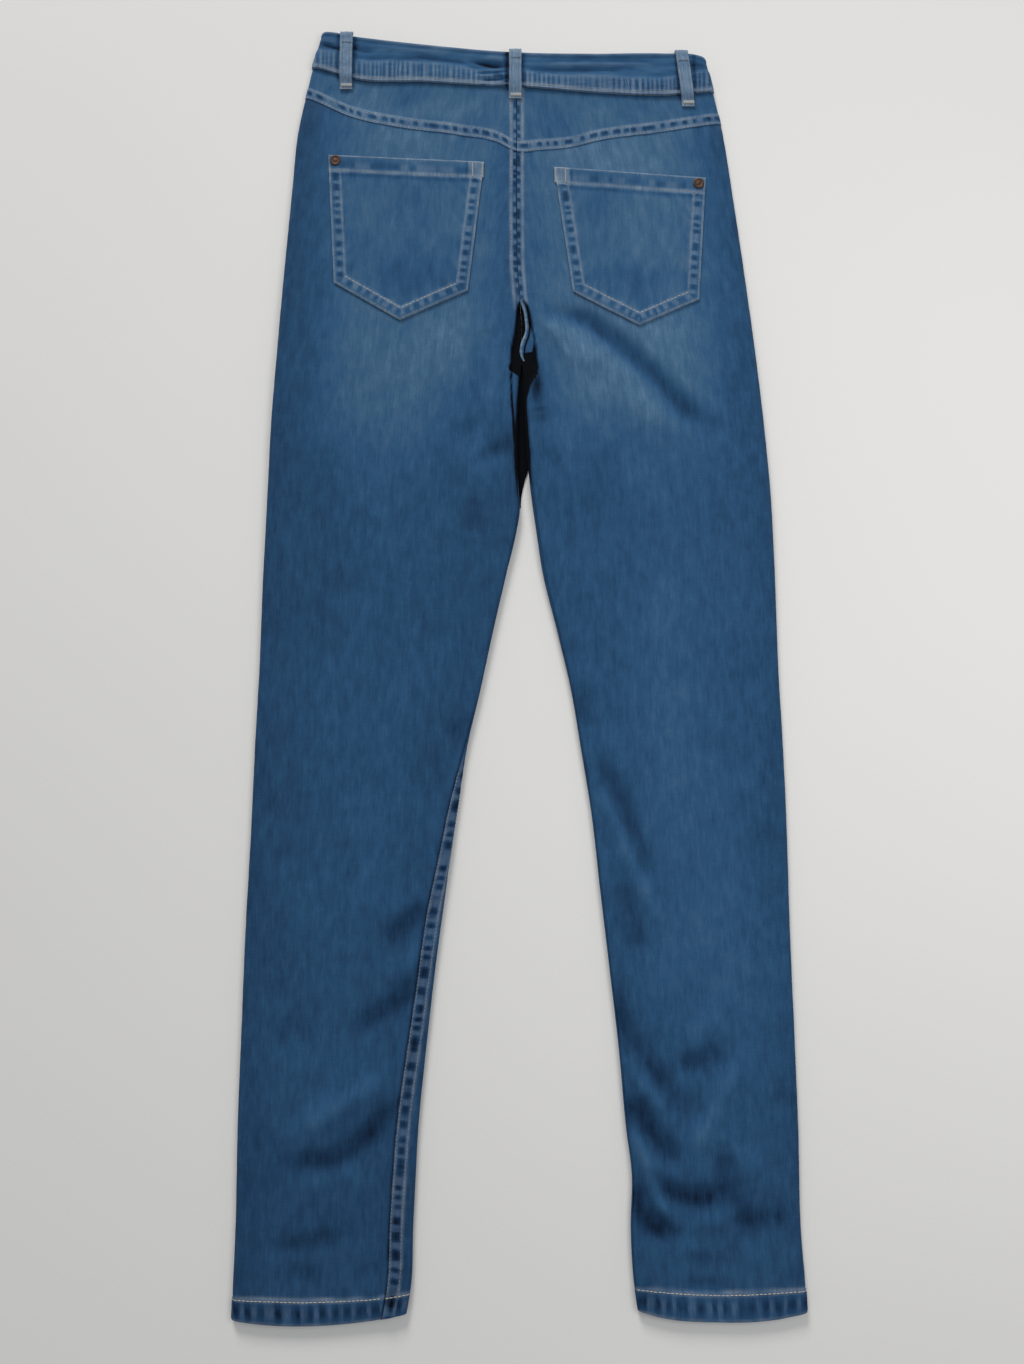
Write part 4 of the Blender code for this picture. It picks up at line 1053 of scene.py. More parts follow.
waistband = {
    "cloth": 0.00198,
    "grow": 0.0004,
    "top": 0.0068,
    "closing": 0.0060,
    "dish": 0.0020,
    # x, y of the line between the roped lower part and the smooth upper part
    "ledge": metres(
        (-180, 496.5), (-164, 494.5), (-149, 491.5), (-137, 486.2), (-100, 484.5), (-74, 483), (-45, 479),
        (-34, 476), (-22, 477.5), (-8, 478.5), (9, 475), (67, 470.8), (133, 471.5), (150, 475.5), (165, 477),
    ),
    # soft creases, in the same way as the back's
    "creases": [
        (2.2, -1.6, -166, 498.5, -157, 496.5, -149, 494), (3, 0.7, -170, 502, -150, 499),
        (2.5, -0.8, -142, 496.5, -132, 492.5, -120, 491), (3, 0.5, -125, 496, -85, 492.5, -50, 489.5),
        (2.4, -0.7, -95, 488, -60, 484, -35, 480), (2.6, -1.9, -42, 483.5, -22, 478.8, -9, 478.3),
        (1.8, -1.2, -38, 472.2, -22, 472.8, -10, 474.5), (1.6, 0.9, -36, 468.5, -20, 469, -8, 470.5),
        (1.6, -1, -34, 465.5, -18, 466, -6, 467.5), (3, 0.8, -30, 486, -10, 484),
        (2.4, 0.9, 6, 479, 34, 480, 80, 480.2, 117, 480.5), (2, -0.9, 10, 475.5, 50, 475, 95, 475.2),
        (2.6, -0.5, 20, 484.5, 70, 483.5, 125, 483.8), (2.2, -0.9, 128, 479, 146, 480, 158, 479),
        (2.2, 0.5, 40, 470, 90, 468),
    ],
    "rope": 0.0040,
    # shade beside the belt loops: depth, then x and half width in millimetres
    "shades": [(0.75, -10, 2.2), (0.35, 3.6, 1.6), (0.45, -136.6, 1.8), (0.4, -150.6, 1.6), (0.45, 131.6, 1.8),
               (0.4, 145.2, 1.6)],
}


def makeWaistband():
    # rows from the edge down to the seam; columns from the closing underneath, round the left side, over the
    # back and round the right side to the closing again
    look, gap = waistband, jeans["seamGap"]
    rows = np.array([0, 0.012, 0.03, 0.055, 0.085, 0.12, *np.linspace(0.15, 0.85, 22), 0.88, 0.91, 0.935, 0.955,
                     0.975, 1.0])[:, None]
    parts = [("left", -1, 92), ("left", 1, 150), ("right", 1, 150), ("right", -1, 92)]
    columns = [np.linspace(0, 1, steps + 1)[None, :] for _, _, steps in parts]

    def placeAt(y):
        xs, zs, first = [], [], 0
        for (side, face, steps), share in zip(parts, columns):
            own = y[:, first:first + steps + 1]
            first += steps + 1
            run = share if (side == "right") == (face > 0) else 1 - share
            size = tubeSizes(side, own, look["top"], look["grow"])
            if face > 0:
                x, z = overTop(side, own, run * size["over"], look["top"], look["grow"], creased=False)
            else:
                x, z = underneath(side, own, run * size["below"], look["grow"])
                x = x + (1 - run) ** 2 * (look["closing"] - smoothRead(innerEdges, 1, own))
            xs.append(x)
            zs.append(z)
        return np.concatenate(xs, axis=1), np.concatenate(zs, axis=1)

    over = np.concatenate([np.full(share.size, face > 0) for (_, face, _), share in zip(parts, columns)])

    def bend(x):
        low = np.where(over, smoothRead(waistSeam, 1, x), frontSeamAt(x)) + gap / 2
        high = np.where(over, smoothRead(waistEdge, 1, x), frontEdgeAt(x))
        return high + (low - high) * rows

    grid = settle(placeAt, bend, np.full((rows.size, over.size), 0.48))
    keep = np.concatenate([[True], np.linalg.norm(np.diff(grid, axis=1), axis=2).max(axis=0) > 0.00005])
    grid, over = grid[:, keep], over[keep]
    x, y = grid[..., 0], grid[..., 1]
    along = runAcross(grid)
    seam = np.where(over, smoothRead(waistSeam, 1, x), frontSeamAt(x))
    edge = np.where(over, smoothRead(waistEdge, 1, x), frontEdgeAt(x))
    ledge = np.where(over, smoothRead(look["ledge"], 1, x), seam + 0.55 * (edge - seam))
    fromSeam, fromEdge = y - seam, edge - y
    low = np.clip((y - seam) / (ledge - seam), 0, 1)
    high = np.clip((y - ledge) / (edge - ledge), 0, 1)
    below = ease((ledge + 0.0014 + 0.0009 * wander(x, 0.0037, 212) - y) / 0.0052)
    beat = x / look["rope"] + 0.6 * wander(x, 0.0066, 201)
    rope = ((0.7 * np.sin(2 * math.pi * beat) + 0.5 * wander(x - 0.05 * y, 0.0011, 202))
            * (1 + 0.5 * wander(x, 0.012, 204)))
    slow = wander(x, 0.021, 203)
    puff = np.sin(math.pi * np.clip(low * 0.86 + 0.12, 0, 1))
    twist = hump(x + 0.021, 0.015) * over
    height = (0.00075 * puff * below + 0.00022 * rope * puff * below * (1 - twist) + 0.00016 * slow * below
              - 0.00035 * hump(y - ledge - 0.0010, 0.0018) - 0.00045 * np.sin(math.pi * high) * (1 - below)
              + 0.00045 * hump(fromEdge - 0.0012, 0.0014) - 0.00030 * hump(fromSeam - 0.0017, 0.0007)
              - 0.00035 * hump(fromEdge - 0.0034, 0.0012))
    # dark collects painted shade in the creases' troughs
    wrinkle, dark = np.zeros(x.shape), np.zeros(x.shape)
    for width, tall, *places in look["creases"]:
        far, part = nearLine(onPlan(places), x, y)
        taper = fadedEnds(part, 3, 0.2)
        wrinkle += tall * 0.001 * taper * hump(far, width * 0.001)
        dark += max(0.0, -tall) * 0.42 * taper * hump(far, width * 0.0006)
    ripple = 0.00016 * dapple(x, y, 0.016, 0.0036, 205)
    lifted = np.where(over, height + wrinkle + ripple * (1 - below), -0.0002 * below)
    inside = ease(fromEdge / 0.002) * 0.6 + 0.4
    under = ~over[None, :] & (grid[..., 2] < 0.001)
    grid = grid + normals(grid, 1) * np.where(under, np.minimum(lifted, 0), lifted * inside)[..., None]
    far = np.where(over, 1.0, along)
    pit = ease((far - 0.0025) / 0.004) * ease((0.0295 - far) / 0.004) * ease((rows - 0.05) / 0.12)
    grid[..., 2] += look["dish"] * pit * ease((0.95 - rows) / 0.12)

    # worn: wear at the top edge, the stitch row and the ropes, with a painted highlight on the wrinkles' crests; deep:
    # darker ropes, painted shade in the crease troughs, a painted shadow line under the ledge and painted shade beside
    # the belt loops
    stripes = np.clip(0.5 + 0.55 * rope, 0, 1)
    worn = (0.55 * hump(fromEdge - 0.0002, 0.0013) * (0.75 + 0.25 * wander(x, 0.006, 206))
            + 0.70 * hump(fromSeam - 0.0018, 0.0016) * (1 + 0.3 * wander(x, 0.0037, 207))
            + 0.44 * puff * below * (1 - stripes) * (1 - 0.5 * twist)
            + 0.10 * hump(y - ledge + 0.0025, 0.0020) * (1 + 0.8 * wander(x, 0.009, 208))
            + 0.15 * np.clip(wrinkle / 0.0008, 0, 1)) * np.where(over, 1, 0.6)
    deep = (0.32 * puff * below * stripes * (1 - twist) + dark + 0.08 * hump(y - ledge - 0.0012, 0.0018)
            + 0.5 * twist * below * np.clip(dapple(x, y, 0.006, 0.0022, 209), 0, 1)
            + over * sum(depth * hump(x - at * 0.001, wide * 0.001) for depth, at, wide in look["shades"]))
    fade = (0.505 + 0.08 * below + 0.03 * below * (x < -0.01) + 0.04 * dapple(x, y, 0.040, 0.008, 210)
            + 0.07 * dapple(x, y, 0.013, 0.0030, 211) * (1 - below)
            - 0.04 * hump(x + 0.165, 0.02) - 0.05 * below * ease((x - 0.02) / 0.05))
    made = clothPiece("clothWaistband", grid, 1, look["cloth"], "band", np.stack([along, y], axis=-1),
                      "waistband_denim", "waistband", fade=fade, worn=worn, deep=deep)
    return made, grid, fromSeam, over


band = makeWaistband()
print("waistband made")


pockets = {
    "left": {
        "outerTop": (-0.1571, 0.3998), "innerTop": (-0.0289, 0.3936), "innerLow": (-0.0416, 0.2819),
        "point": (-0.0963, 0.2565), "outerLow": (-0.1502, 0.2887), "seed": 300,
    },
    "right": {
        "outerTop": (0.1530, 0.3797), "innerTop": (0.0285, 0.3893), "innerLow": (0.0434, 0.2810),
        "point": (0.0965, 0.2523), "outerLow": (0.1453, 0.2743), "seed": 330,
        "wrinkle": [(0.0990, 0.3120), (0.0950, 0.2850), (0.0975, 0.2600)],
    },
    "hem": 0.0150,
    "rim": 0.0100,
    "raise": 0.0005,
}


def pocketOutline(side):
    # the five corners from the outer top down round the point and up
    spec = pockets[side]
    return np.array([spec[key] for key in ("outerTop", "outerLow", "point", "innerLow", "innerTop")])


def pocketForm(side, x, y):
    # height over the floor, wear and depth of colour at a place in plan: the seat's height, the cloth, a
    # raised rim and hem, grooves at the rows, and soft waves inside; the depth of colour also holds painted shade
    spec, rim, hem = pockets[side], pockets["rim"], pockets["hem"]
    outline = pocketOutline(side)
    seed = spec["seed"]
    fromSides, along = nearLine(outline, x, y)
    fromTop, across = nearLine(outline[[0, -1]], x, y)
    fromRim = np.minimum(fromSides, fromTop)
    along, across = along * 0.36, across * 0.125
    beat = along / 0.0089 + 0.6 * wander(along, 0.0135, seed)
    rope = ((0.8 * np.sin(2 * math.pi * beat) + 0.6 * wander(along + 0.2 * fromSides, 0.0021, seed + 1))
            * (1 + 0.4 * wander(along, 0.017, seed + 8)))
    hemRope = wander(across, 0.0062, seed + 2) + 0.5 * wander(across, 0.0030, seed + 3)
    inHem = 1 - ease((fromTop - hem) / 0.0010)
    inRim = 1 - ease((fromSides - rim) / 0.0010)
    plateau = np.maximum(inRim, inHem)
    turned = 1 - inHem
    sideMiddle = hump(fromSides - 0.0056 - 0.0005 * wander(along, 0.006, seed + 9), 0.0024) * turned
    hemMiddle = hump(fromTop - 0.0085, 0.0030)
    beside = np.exp(-np.clip(np.minimum(fromSides - rim, fromTop - hem), 0, 1) / 0.006) * (1 - plateau)
    pucker = wander(along + across, 0.0062, seed + 4)
    height = (jeans["cloth"] + pockets["raise"] * plateau
              - 0.00026 * (hump(fromSides - 0.0015, 0.0007) + hump(fromSides - 0.0092, 0.0008) * turned)
              - 0.00026 * (hump(fromTop - 0.0015, 0.0007) + hump(fromTop - 0.0136, 0.0008))
              + 0.00018 * rope * sideMiddle + 0.00022 * hemRope * hemMiddle + 0.00022 * pucker * beside
              + 0.00022 * dapple(x, y, 0.017, 0.028, seed + 5) * (1 - plateau)
              + 0.00035 * hump(fromTop - 0.024, 0.012) * (1 - plateau))
    height *= 0.55 + 0.45 * ease(fromRim / 0.0012)
    patches = ease(0.42 + 0.9 * rope)
    hemPatches = ease(0.4 + 0.8 * hemRope)
    worn = (0.72 * hump(fromRim - 0.0003, 0.0011) * (0.8 + 0.3 * wander(along + across, 0.0043, seed + 6))
            + 0.42 * hump(fromSides - 0.0092, 0.0012) * turned * (0.9 + 0.4 * wander(along, 0.0037, seed + 10))
            + 0.62 * hump(fromTop - 0.0136, 0.0016) * (0.9 + 0.35 * wander(across, 0.005, seed + 7))
            + 0.26 * sideMiddle * (1 - patches) + 0.16 * hemMiddle * (1 - hemPatches)
            + 0.14 * np.clip(pucker, 0, 1) * beside)
    low = ease((0.300 - y) / 0.02)
    # deep: darker ropes, plus painted shade in a line just under the hem's edge and in the puckers' dips
    deep = (0.50 * sideMiddle * patches * (1 - 0.5 * low) + 0.24 * hemMiddle * hemPatches
            + 0.22 * hump(fromTop - 0.0175, 0.0016) + 0.16 * np.clip(-pucker, 0, 1) * beside)
    # a double tack at the inner top corner, and a soft V-shaped wrinkle over the right pocket's point, darkened with
    # painted shade
    cornerX, cornerY = spec["innerTop"]
    fromCorner = np.abs(x - cornerX)
    box = ease((0.0135 - fromCorner) / 0.0015) * ease((cornerY + 0.002 - y) / 0.001) * (fromTop < 0.0155)
    worn = worn + 0.30 * box
    deep = deep * (1 - 0.5 * box) + 0.25 * hump(fromCorner - 0.0142, 0.0010) * (fromTop < 0.016)
    if "wrinkle" in spec:
        far, part = nearLine(spec["wrinkle"], x, y)
        fading = fadedEnds(part, 3)
        height = height - 0.0006 * fading * hump(far, 0.0040)
        deep = deep + 0.13 * fading * hump(far, 0.0032)
    return seatHeight(side, x, y) + jeans["seamGap"] + height, worn, deep, height


def makePocket(side):
    # rows from the top down and columns from the outer edge in, closer together at the rims
    turn = sides[side][0]
    outline = pocketOutline(side)
    outerTop, outerLow, point, innerLow, innerTop = outline
    tip = (point[0] - outerLow[0]) / (innerLow[0] - outerLow[0])
    fine = np.array([0, 0.004, 0.008, 0.012, 0.018, 0.026, 0.036, 0.046, 0.056, 0.064, 0.070, 0.075, 0.080, 0.086,
                     0.094, 0.105])
    down = np.concatenate([fine, np.linspace(0.112, 0.90, 66), 1 - fine[::-1]])[:, None]
    across = np.unique(np.concatenate([fine, np.linspace(0.115, 0.885, 70), [tip], 1 - fine[::-1]]))[None, :]
    part = np.where(across < tip, across / tip, (across - tip) / (1 - tip))[..., None]
    low = np.where((across < tip)[..., None], outerLow + (point - outerLow) * part, point + (innerLow - point) * part)
    top = outerTop + (innerTop - outerTop) * across[..., None]
    plan = top + (low - top) * down[..., None]
    x, y = plan[..., 0], plan[..., 1]
    z, worn, deep, thick = pocketForm(side, x, y)
    grid = np.stack([x, y, z], axis=-1)
    fromTop = nearLine(outline[[0, -1]], x, y)[0]
    fade = (0.59 + 0.05 * dapple(x, y, 0.03, 0.05, 14) + 0.03 * dapple(x, y, 0.010, 0.018, 15)
            - 0.10 * hump(y - 0.292, 0.018) * hump(np.abs(x) - 0.080, 0.040) - 0.03 * (fromTop < 0.015))
    return clothPiece("clothPocket" + side.capitalize(), grid, turn, np.maximum(thick - 0.0001, 0.0004), "seat",
                      plan, "seat_denim", "pocket_" + side, fade=fade, worn=worn, deep=deep)


pocketPieces = {side: makePocket(side) for side in sides}
print("pockets made")


loops = {
    "left": {"x": -0.1436, "lean": 0.0, "rise": 0.0, "seed": 401},
    "center": {"x": -0.0032, "lean": 0.0, "rise": 0.0005, "seed": 411},
    "right": {"x": 0.1388, "lean": -0.0040, "rise": 0.0, "seed": 421},
    "width": 0.0105,
    "cloth": 0.0016,
    "tail": 0.0110,
}


def makeLoop(place):
    # a strip carried along a path from behind the waistband's edge, over it and down to the yoke
    spec = loops[place]
    seam, edge = (float(smoothRead(line, 1, np.array([spec["x"]]))[0]) for line in (waistSeam, waistEdge))
    bandLevel = waistband["top"] + 0.0009
    yokeLevel = float(straightRead(topHeights, 1, np.array([seam - loops["tail"]]))[0]) + spec["rise"] + 0.0003
    bends = np.array([
        (edge + 0.0013, 0.0050), (edge + 0.0013, bandLevel - 0.0006), (edge + 0.0005, bandLevel),
        (edge - 0.0045, bandLevel + 0.0003), ((edge + seam) / 2, bandLevel + 0.0007),
        (seam + 0.0040, bandLevel + 0.0005), (seam - 0.0020, bandLevel), (seam - 0.0060, yokeLevel + 0.0004),
        (seam - loops["tail"], yokeLevel),
    ])
    stops = np.linspace(0, runAlong(bends)[-1], 121)
    path = alongLine(bends, stops)
    weights = np.hanning(11) / np.hanning(11).sum()
    padded = np.concatenate([2 * path[:1] - path[5:0:-1], path, 2 * path[-1:] - path[-2:-7:-1]])
    path = np.stack([np.convolve(padded[:, axis], weights, "valid") for axis in (0, 1)], axis=1)[::2]
    stops = stops[::2, None]
    ahead = np.gradient(path, axis=0)
    out = np.stack([ahead[:, 1], -ahead[:, 0]], axis=1) / np.linalg.norm(ahead, axis=1, keepdims=True)
    across = np.array([-1, -0.97, -0.92, -0.84, -0.76, -0.68, -0.58, -0.44, -0.28, -0.1, 0.1, 0.28, 0.44, 0.58,
                       0.68, 0.76, 0.84, 0.92, 0.97, 1])[None, :]
    ribs = hump(np.abs(across) - 0.84, 0.16)
    nap = 0.5 * wander(stops, 0.0035, spec["seed"]) + 0.5 * wander(stops + 0.1 * across, 0.0019, spec["seed"] + 1)
    lift = (loops["cloth"] - 0.00045 * (np.abs(across) > 0.94) + 0.00016 * ribs
            - 0.00022 * hump(np.abs(across) - 0.62, 0.10) + 0.00008 * nap + 0.00012 * (1 - across**2))
    lift = lift * (0.65 + 0.35 * ease((stops[-1] - stops) / 0.004))
    centre = spec["x"] + spec["lean"] * (path[:, :1] - seam) / (edge - seam)
    half = loops["width"] / 2 * (1 + 0.03 * wander(stops, 0.009, spec["seed"] + 2))
    grid = np.stack([centre + across * half, path[:, :1] + out[:, :1] * lift, path[:, 1:] + out[:, 1:] * lift], axis=-1)
    fromEnd = stops[-1] - stops
    worn = 0.70 * ribs * (0.8 + 0.6 * nap) + 0.6 * hump(fromEnd, 0.0030) + 0.42 * (1 - ribs) * (1 + 0.5 * nap)
    worn = worn + 0.25 * hump(path[:, :1] - edge, 0.002)
    # painted shade: darker beside the grooves inside the stitch rows and along the loop's side edges
    deep = 0.26 * hump(np.abs(across) - 0.55, 0.14) * (0.6 + 0.7 * nap) + 0.08 * hump(across, 0.3)
    deep = deep + 0.35 * hump(np.abs(across) - 1.0, 0.05)
    made = clothPiece("clothLoop" + place.capitalize(), grid, 1, np.clip(lift * 0.95, 0.0004, 1), "loop",
                      np.stack([across * half, stops + 0 * across], axis=-1), "loop_denim", "loop_back_" + place,
                      fade=0.66 + 0.07 * nap, worn=worn, deep=deep)
    return made, grid


loopPieces = {place: makeLoop(place) for place in ("left", "center", "right")}
print("belt loops made")


# metal: dull copper rivets with a raised rim and a worn centre, and the waist button in its dish


def metalFinish(name, bright, dull, roughness):
    # tarnish is a patchy mix of two metal colours
    finish = Finish(name, Metallic=0.85)
    patch, scratch = finish.grain(420.0, 4.0), finish.grain(2600.0, 2.0)
    colour = finish.mix(patch * 1.2 - 0.1, tint(*bright), tint(*dull))
    rough = patch * 0.25 + scratch * 0.15 + (roughness - 0.2)
    return finish.give(Base_Color=colour, Roughness=rough, Normal=finish.bump(scratch, 0.00008, 0.5))


rivet = {
    # distance from the axis and height, millimetres
    "profile": [(4.5, 0.0), (4.6, 0.25), (4.55, 0.55), (4.3, 0.85), (3.9, 1.05), (3.4, 1.10), (3.0, 1.0), (2.7, 0.78),
                (2.4, 0.66), (2.0, 0.68), (1.6, 0.86), (1.2, 1.02), (0.8, 1.10), (0.4, 1.13)],
    "inset": (0.0062, 0.0056),
}
button = {
    "profile": [(7.9, 1.70), (7.9, 1.35), (8.2, 1.0), (8.5, 0.75), (8.5, 0.45), (8.2, 0.15), (7.6, 0.0), (7.0, 0.05),
                (6.6, 0.30), (6.2, 0.42), (5.4, 0.45), (4.6, 0.36), (3.8, 0.22), (2.6, 0.12), (1.2, 0.08)],
    "inset": 0.0160,
}


def turnedPiece(name, profile, centre, steps, material, node):
    # a profile of radius and height turned about the z axis through the centre, closed by a point at each end
    radius, height = np.array(profile).T * 0.001
    angle = np.linspace(0, 2 * math.pi, steps, endpoint=False)[None, :]
    ring = np.stack([radius[:, None] * np.cos(angle), radius[:, None] * np.sin(angle),
                     height[:, None] + 0 * angle], axis=-1)
    ends = np.array([(0, 0, height[0]), (0, 0, height[-1])])
    points = np.concatenate([ring.reshape(-1, 3), ends]) + np.array(centre)
    upward = height[-1] > height[0]
    faces = gridFaces(len(profile), steps, 0, upward, closed=True).tolist()
    index = np.arange(steps)
    first = np.stack([np.roll(index, -1), index, np.full(steps, len(points) - 2)], axis=1)
    last = np.stack([index, np.roll(index, -1), np.full(steps, len(points) - 1)], axis=1) + np.array(
        [(len(profile) - 1) * steps] * 2 + [0])
    if not upward:
        first, last = first[:, [1, 0, 2]], last[:, [1, 0, 2]]
    return addMesh(name, points, faces + first.tolist() + last.tolist(), material, node, sharp=60)


copper = metalFinish("agedCopper", (96, 73, 62), (50, 40, 36), 0.60)
nickel = metalFinish("agedNickel", (172, 164, 150), (108, 98, 84), 0.42)
for side in sides:
    corner = pockets[side]["outerTop"]
    atX = corner[0] + sides[side][0] * rivet["inset"][0]
    atY = corner[1] - rivet["inset"][1]
    atZ = float(pocketForm(side, np.array([atX]), np.array([atY]))[0][0]) - 0.0002
    turnedPiece("rivet" + side.capitalize(), rivet["profile"], (atX, atY, atZ), 40, copper,
                "rivet_" + side)
atX = waistband["closing"] - button["inset"]
atY = float((frontSeamAt(atX) + frontEdgeAt(atX)) / 2)
turnedPiece("waistButton", button["profile"], (atX, atY, 0), 64, nickel, "waist_button")
print("rivets and button made")


stitch = {
    "pitch": 0.0033,
    "length": 0.0027,
    "radius": 0.00026,
    "chainPitch": 0.0029,
    "hemPitch": 0.0031,
    "around": 5,
    "stations": 6,
}
threads = {"paleThread": [], "creamThread": [], "tackThread": []}


def lineOn(grid, field, level, axis):
    # where a field crosses a level along one direction of a grid, with straight blends between grid points
    if axis == 1:
        grid, field = grid.swapaxes(0, 1), field.T
    above = field > level
    crossed = above[:-1] != above[1:]
    row = crossed.argmax(axis=0)
    column = np.flatnonzero(crossed.any(axis=0))
    row = row[column]
    low, high = field[row, column], field[row + 1, column]
    share = ((level - low) / (high - low))[:, None]
    return grid[row, column] * (1 - share) + grid[row + 1, column] * share


def addTubes(thread, centre, girth, aside, up):
    # rings about each thread's centre line: girth times (cos a aside + sin a up)
    angle = np.linspace(0, 2 * math.pi, stitch["around"], endpoint=False)[:, None]
    ring = np.cos(angle) * aside[..., None, :] + np.sin(angle) * up[..., None, :]
    threads[thread].append(centre[:, :, None] + girth[:, None, None] * ring)


def sew(thread, line, normal, pitch=None, length=None, radius=None, seed=0):
    # thin capsules set end to end along a line: each rises out of the cloth and goes down again, with small
    # uneven shifts in length, side and height
    pitch, length, radius = pitch or stitch["pitch"], length or stitch["length"], radius or stitch["radius"]
    count = int(runAlong(line)[-1] / pitch)
    if count < 1:
        return
    normal = np.broadcast_to(normal, line.shape)
    chance = np.random.default_rng(seed)
    start = (np.arange(count) + 0.5) * pitch - length / 2 + chance.uniform(-0.06, 0.06, count) * pitch
    part = np.linspace(0, 1, stitch["stations"])
    at = start[:, None] + part[None, :] * length
    centre, up = alongLine(line, at), alongLine(line, at, normal)
    up /= np.linalg.norm(up, axis=-1, keepdims=True)
    ahead = np.gradient(centre, axis=1)
    ahead /= np.linalg.norm(ahead, axis=-1, keepdims=True)
    aside = np.cross(ahead, up)
    girth = radius * np.sqrt(np.clip(1 - (2 * part - 1) ** 4, 0.12, 1))
    arch = radius * (0.75 * np.sin(math.pi * part) - 0.35)[None, :, None] + chance.uniform(
        -0.00003, 0.00003, (count, 1, 1))
    centre = centre + up * arch + aside * chance.uniform(-0.00012, 0.00012, (count, 1, 1))
    addTubes(thread, centre, girth, aside, up)


def satin(thread, centre, across, down, count, width, radius=0.00024):
    # a bar tack: parallel threads laid side by side
    offsets = np.linspace(-0.5, 0.5, count)[:, None]
    start = np.array(centre) + offsets * np.array(down)
    half = np.array(across) / np.linalg.norm(across) * width / 2
    part = np.linspace(-1, 1, stitch["stations"])
    line = start[:, None] + part[None, :, None] * half
    line[..., 2] += radius * (1.3 * np.sqrt(np.clip(1 - part**4, 0, 1)) - 0.5)[None, :]
    ahead = half / np.linalg.norm(half)
    up = np.array((0, 0, 1.0))
    aside = np.cross(ahead, up)
    addTubes(thread, line, radius * np.sqrt(np.clip(1 - part**6, 0.15, 1)), aside, up)


def sewOnGrid(thread, grid, field, level, axis, turn, where=None, **settings):
    # stitches along the line where a field crosses a level, standing on the grid's normals
    line = lineOn(grid, field, level, axis)
    way = lineOn(normals(grid, turn), field, level, axis)
    if where is not None:
        keep = where(line)
        line, way = line[keep], way[keep]
    sew(thread, line, way, **settings)


for side, (turn, column) in sides.items():
    _, grid, fromInner = backs[side]
    sewOnGrid("paleThread", grid, fromInner, 0.0043, 1, turn, lambda line: line[:, 1] > 0.272, seed=500 + column)
    hemField = hemPlace(side, grid[..., 0], grid[..., 1])
    sewOnGrid("creamThread", grid, hemField, 0.0160, 0, turn, pitch=stitch["hemPitch"], seed=510 + column)
    _, grid, fromSeam = yokes[side]
    for row in (0.0015, 0.0083):
        sewOnGrid("paleThread", grid, fromSeam, row, 0, turn, seed=520 + column + int(row * 1e4))
    inner = runBack(grid)
    sewOnGrid("paleThread", grid, inner, 0.0043, 1, turn,
              lambda line: line[:, 1] > smoothRead(yokeSeam, 1, line[:, 0]) + 0.010, seed=530 + column)
    _, grid = fronts[side]
    hemField = hemPlace(side, grid[..., 0], grid[..., 1])
    sewOnGrid("creamThread", grid, hemField, 0.0160, 0, turn, pitch=stitch["hemPitch"], seed=540 + column)
_, grid = fronts["left"]
fromInseam = runAcross(grid)
for row in (0.0012, 0.0094):
    sewOnGrid("paleThread", grid, fromInseam, row, 1, 1, lambda line: (line[:, 1] < -0.105) & (line[:, 1] > -0.488),
              pitch=stitch["chainPitch"], length=0.0025, radius=0.00030, seed=550 + int(row * 1e4))
_, grid, fromSeam, over = band
ends = np.flatnonzero(over)[[0, -1]]
for first, last in zip((0, *ends), (*ends, len(over))):
    sewOnGrid("paleThread", grid[:, first:last], fromSeam[:, first:last], 0.0017, 0, 1, seed=560 + first)
_, grid = flyStrip
fromEdge = runBack(grid)
for row in (0.0020, 0.0080):
    sewOnGrid("paleThread", grid, fromEdge, row, 1, 1, radius=0.00020, seed=570 + int(row * 1e4))


def insetLine(points, distance):
    # a broken line moved sideways by a distance, its corners where the moved stretches meet: the sum of both
    # offsets times twice the distance squared over the sum's own length squared
    points = np.array(points)
    ahead = np.diff(points, axis=0)
    ahead /= np.linalg.norm(ahead, axis=1, keepdims=True)
    aside = np.stack([-ahead[:, 1], ahead[:, 0]], axis=1) * distance
    before, after = np.concatenate([aside[:1], aside]), np.concatenate([aside, aside[-1:]])
    both = before + after
    return points + both * (2 * distance**2 / np.sum(both**2, axis=1, keepdims=True))


def onPocket(side, plan, spacing=0.0008):
    # a broken line in plan read at even steps and lifted on to the pocket
    length = runAlong(plan)[-1]
    x, y = alongLine(plan, np.linspace(0, length, max(2, int(length / spacing)))).T
    return np.stack([x, y, pocketForm(side, x, y)[0]], axis=1)


for side, (turn, column) in sides.items():
    outline = pocketOutline(side)
    seed = pockets[side]["seed"]
    topDown = outline[[0, -1]]
    for number, distance in enumerate((0.0015, 0.0092)):
        rows = insetLine(outline, turn * distance)
        if number:
            rows[0] += (rows[1] - rows[0]) * 0.118
            rows[-1] += (rows[-2] - rows[-1]) * 0.118
        for part in range(4):
            thread = "creamThread" if part in (1, 2) and number else "paleThread"
            sew(thread, onPocket(side, rows[part:part + 2]), (0, 0, 1), radius=0.00023, seed=seed + 10 * number + part)
    for distance in (0.0015, 0.0136):
        rows = insetLine(topDown, -turn * distance)
        sew("paleThread", onPocket(side, rows), (0, 0, 1), radius=0.00023, seed=seed + int(distance * 1e4))
    corner = np.array(pockets[side]["innerTop"]) + np.array((-turn * 0.0052, -0.0075))
    for atX in corner[0] + np.array((-0.0042, 0.0042)):
        atZ = float(pocketForm(side, np.array([atX]), corner[1:])[0][0])
        satin("tackThread", (atX, corner[1], atZ), (1, 0, 0), (0, 0.012, 0), 26, 0.0013)
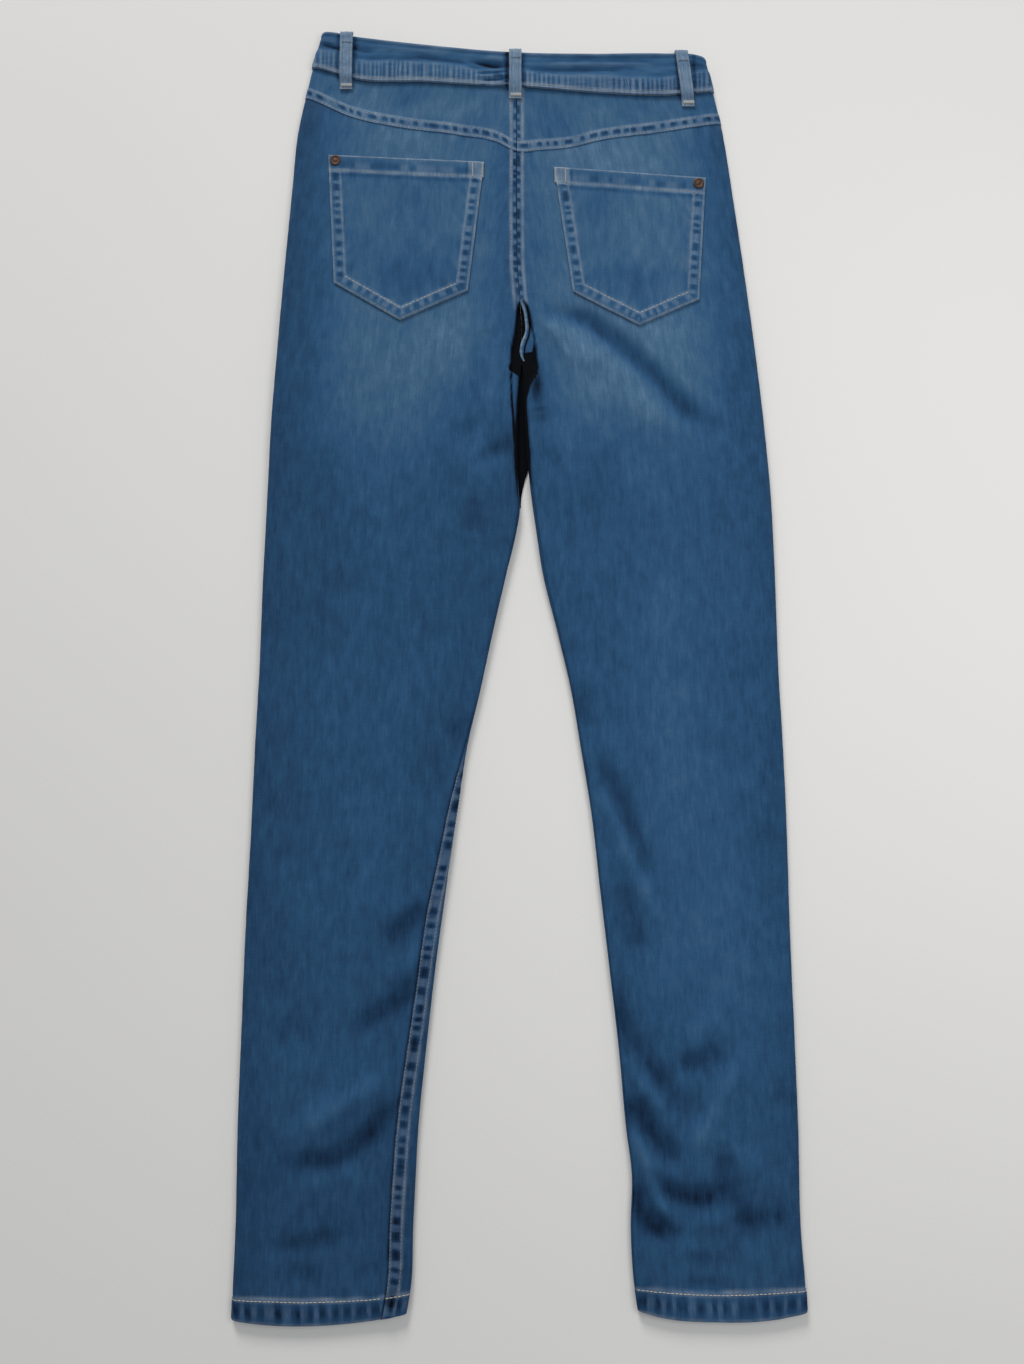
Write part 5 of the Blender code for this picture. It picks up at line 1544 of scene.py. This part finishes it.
for place in ("left", "center", "right"):
    _, grid = loopPieces[place]
    for column in (3, -4):
        line = grid[3:-2, column]
        way = normals(grid, 1)[3:-2, column]
        sew("paleThread", line, way, radius=0.00020, seed=loops[place]["seed"] + column)
    tail = grid[-4, grid.shape[1] // 2]
    satin("tackThread", tail + np.array((0, 0.0006, 0.0001)), (0, 1, 0), (0.0086, 0, 0), 22, 0.0034)
    head = grid[14, grid.shape[1] // 2]
    satin("paleThread", head + np.array((0, 0, 0.00005)), (0, 1, 0), (0.0080, 0, 0), 16, 0.0018, 0.0002)


def joinThreads(name):
    # every stitch is a tube of a few rings closed by a flat end
    stations, around = stitch["stations"], stitch["around"]
    points = np.concatenate(threads[name])
    one = gridFaces(stations, around, 0, False, closed=True)
    starts = np.arange(len(points))[:, None, None] * stations * around
    tubes = (one[None] + starts).reshape(-1, 4)
    near = (np.arange(around)[None, None] + starts).reshape(-1, around)
    far = (np.arange(around)[::-1][None, None] + starts + (stations - 1) * around).reshape(-1, around)
    addMesh(name + "Stitches", points, tubes.tolist() + near.tolist() + far.tolist(), finishes[name])


for name in threads:
    joinThreads(name)
print("stitches sewn:", sum(len(group) for name in threads for group in threads[name]))


studio = {
    "camera": (-0.00596, -0.11958, 0.800),
    "tilt": 6.0,
    "lens": 36 * 1025 / 1364,
    "floorLevel": -0.0004,
    "floorColour": (0.805, 0.793, 0.772),
    "worldColour": (0.93, 0.96, 1.0),
    "worldStrength": 0.37,
    "lamps": [
        # place, aimed at, width, power, colour
        ((-0.90, 3.90, 1.90), (0.0, 0.0, 0.0), 1.3, 138.0, (1.0, 0.985, 0.96)),
        ((0.56, 0.03, 0.88), (0.20, 0.02, 0.0), 0.5, 2.9, (1.0, 0.995, 0.985)),
    ],
}


def buildStudio():
    # pale floor, a far soft lamp from the waist's side, a near one at the right, and the photo's camera
    floorMesh = bpy.data.meshes.new("floor")
    half, level = 3.0, studio["floorLevel"]
    floorMesh.from_pydata([(-half, -half, level), (half, -half, level), (half, half, level), (-half, half, level)],
                          [], [(0, 1, 2, 3)])
    floor = bpy.data.objects.new("floor", floorMesh)
    scene.collection.objects.link(floor)
    finish = Finish("paleFloor", Roughness=0.9)
    fine, broad = finish.grain(900.0, 2.0), finish.grain(3.0, 1.0)
    base = np.array(studio["floorColour"])
    colour = finish.mix(fine * 0.4 + broad * 0.6, base * 0.97, np.minimum(base * 1.03, 1))
    floorMesh.materials.append(finish.give(Base_Color=colour, Normal=finish.bump(fine, 0.0002, 0.3)))
    for number, (place, aim, width, power, colour) in enumerate(studio["lamps"]):
        lamp = bpy.data.lights.new("softLamp%d" % number, "AREA")
        lamp.shape, lamp.size, lamp.energy, lamp.color = "SQUARE", width, power, colour
        made = bpy.data.objects.new(lamp.name, lamp)
        way = np.array(place) - np.array(aim)
        made.location = place
        lean = math.atan2(math.hypot(way[0], way[1]), way[2])
        made.rotation_euler = (lean, 0, math.atan2(way[1], way[0]) + math.pi / 2)
        scene.collection.objects.link(made)
    scene.world = bpy.data.worlds.new("paleRoom")
    scene.world.use_nodes = True
    sky = scene.world.node_tree.nodes["Background"].inputs
    sky[0].default_value, sky[1].default_value = (*studio["worldColour"], 1), studio["worldStrength"]
    view = bpy.data.cameras.new("view")
    view.lens, view.sensor_width = studio["lens"], 36
    made = bpy.data.objects.new("view", view)
    made.location = studio["camera"]
    made.rotation_euler = (math.radians(studio["tilt"]), 0, 0)
    scene.collection.objects.link(made)
    scene.camera = made
    scene.view_settings.view_transform = "Standard"


buildStudio()
print("studio set")
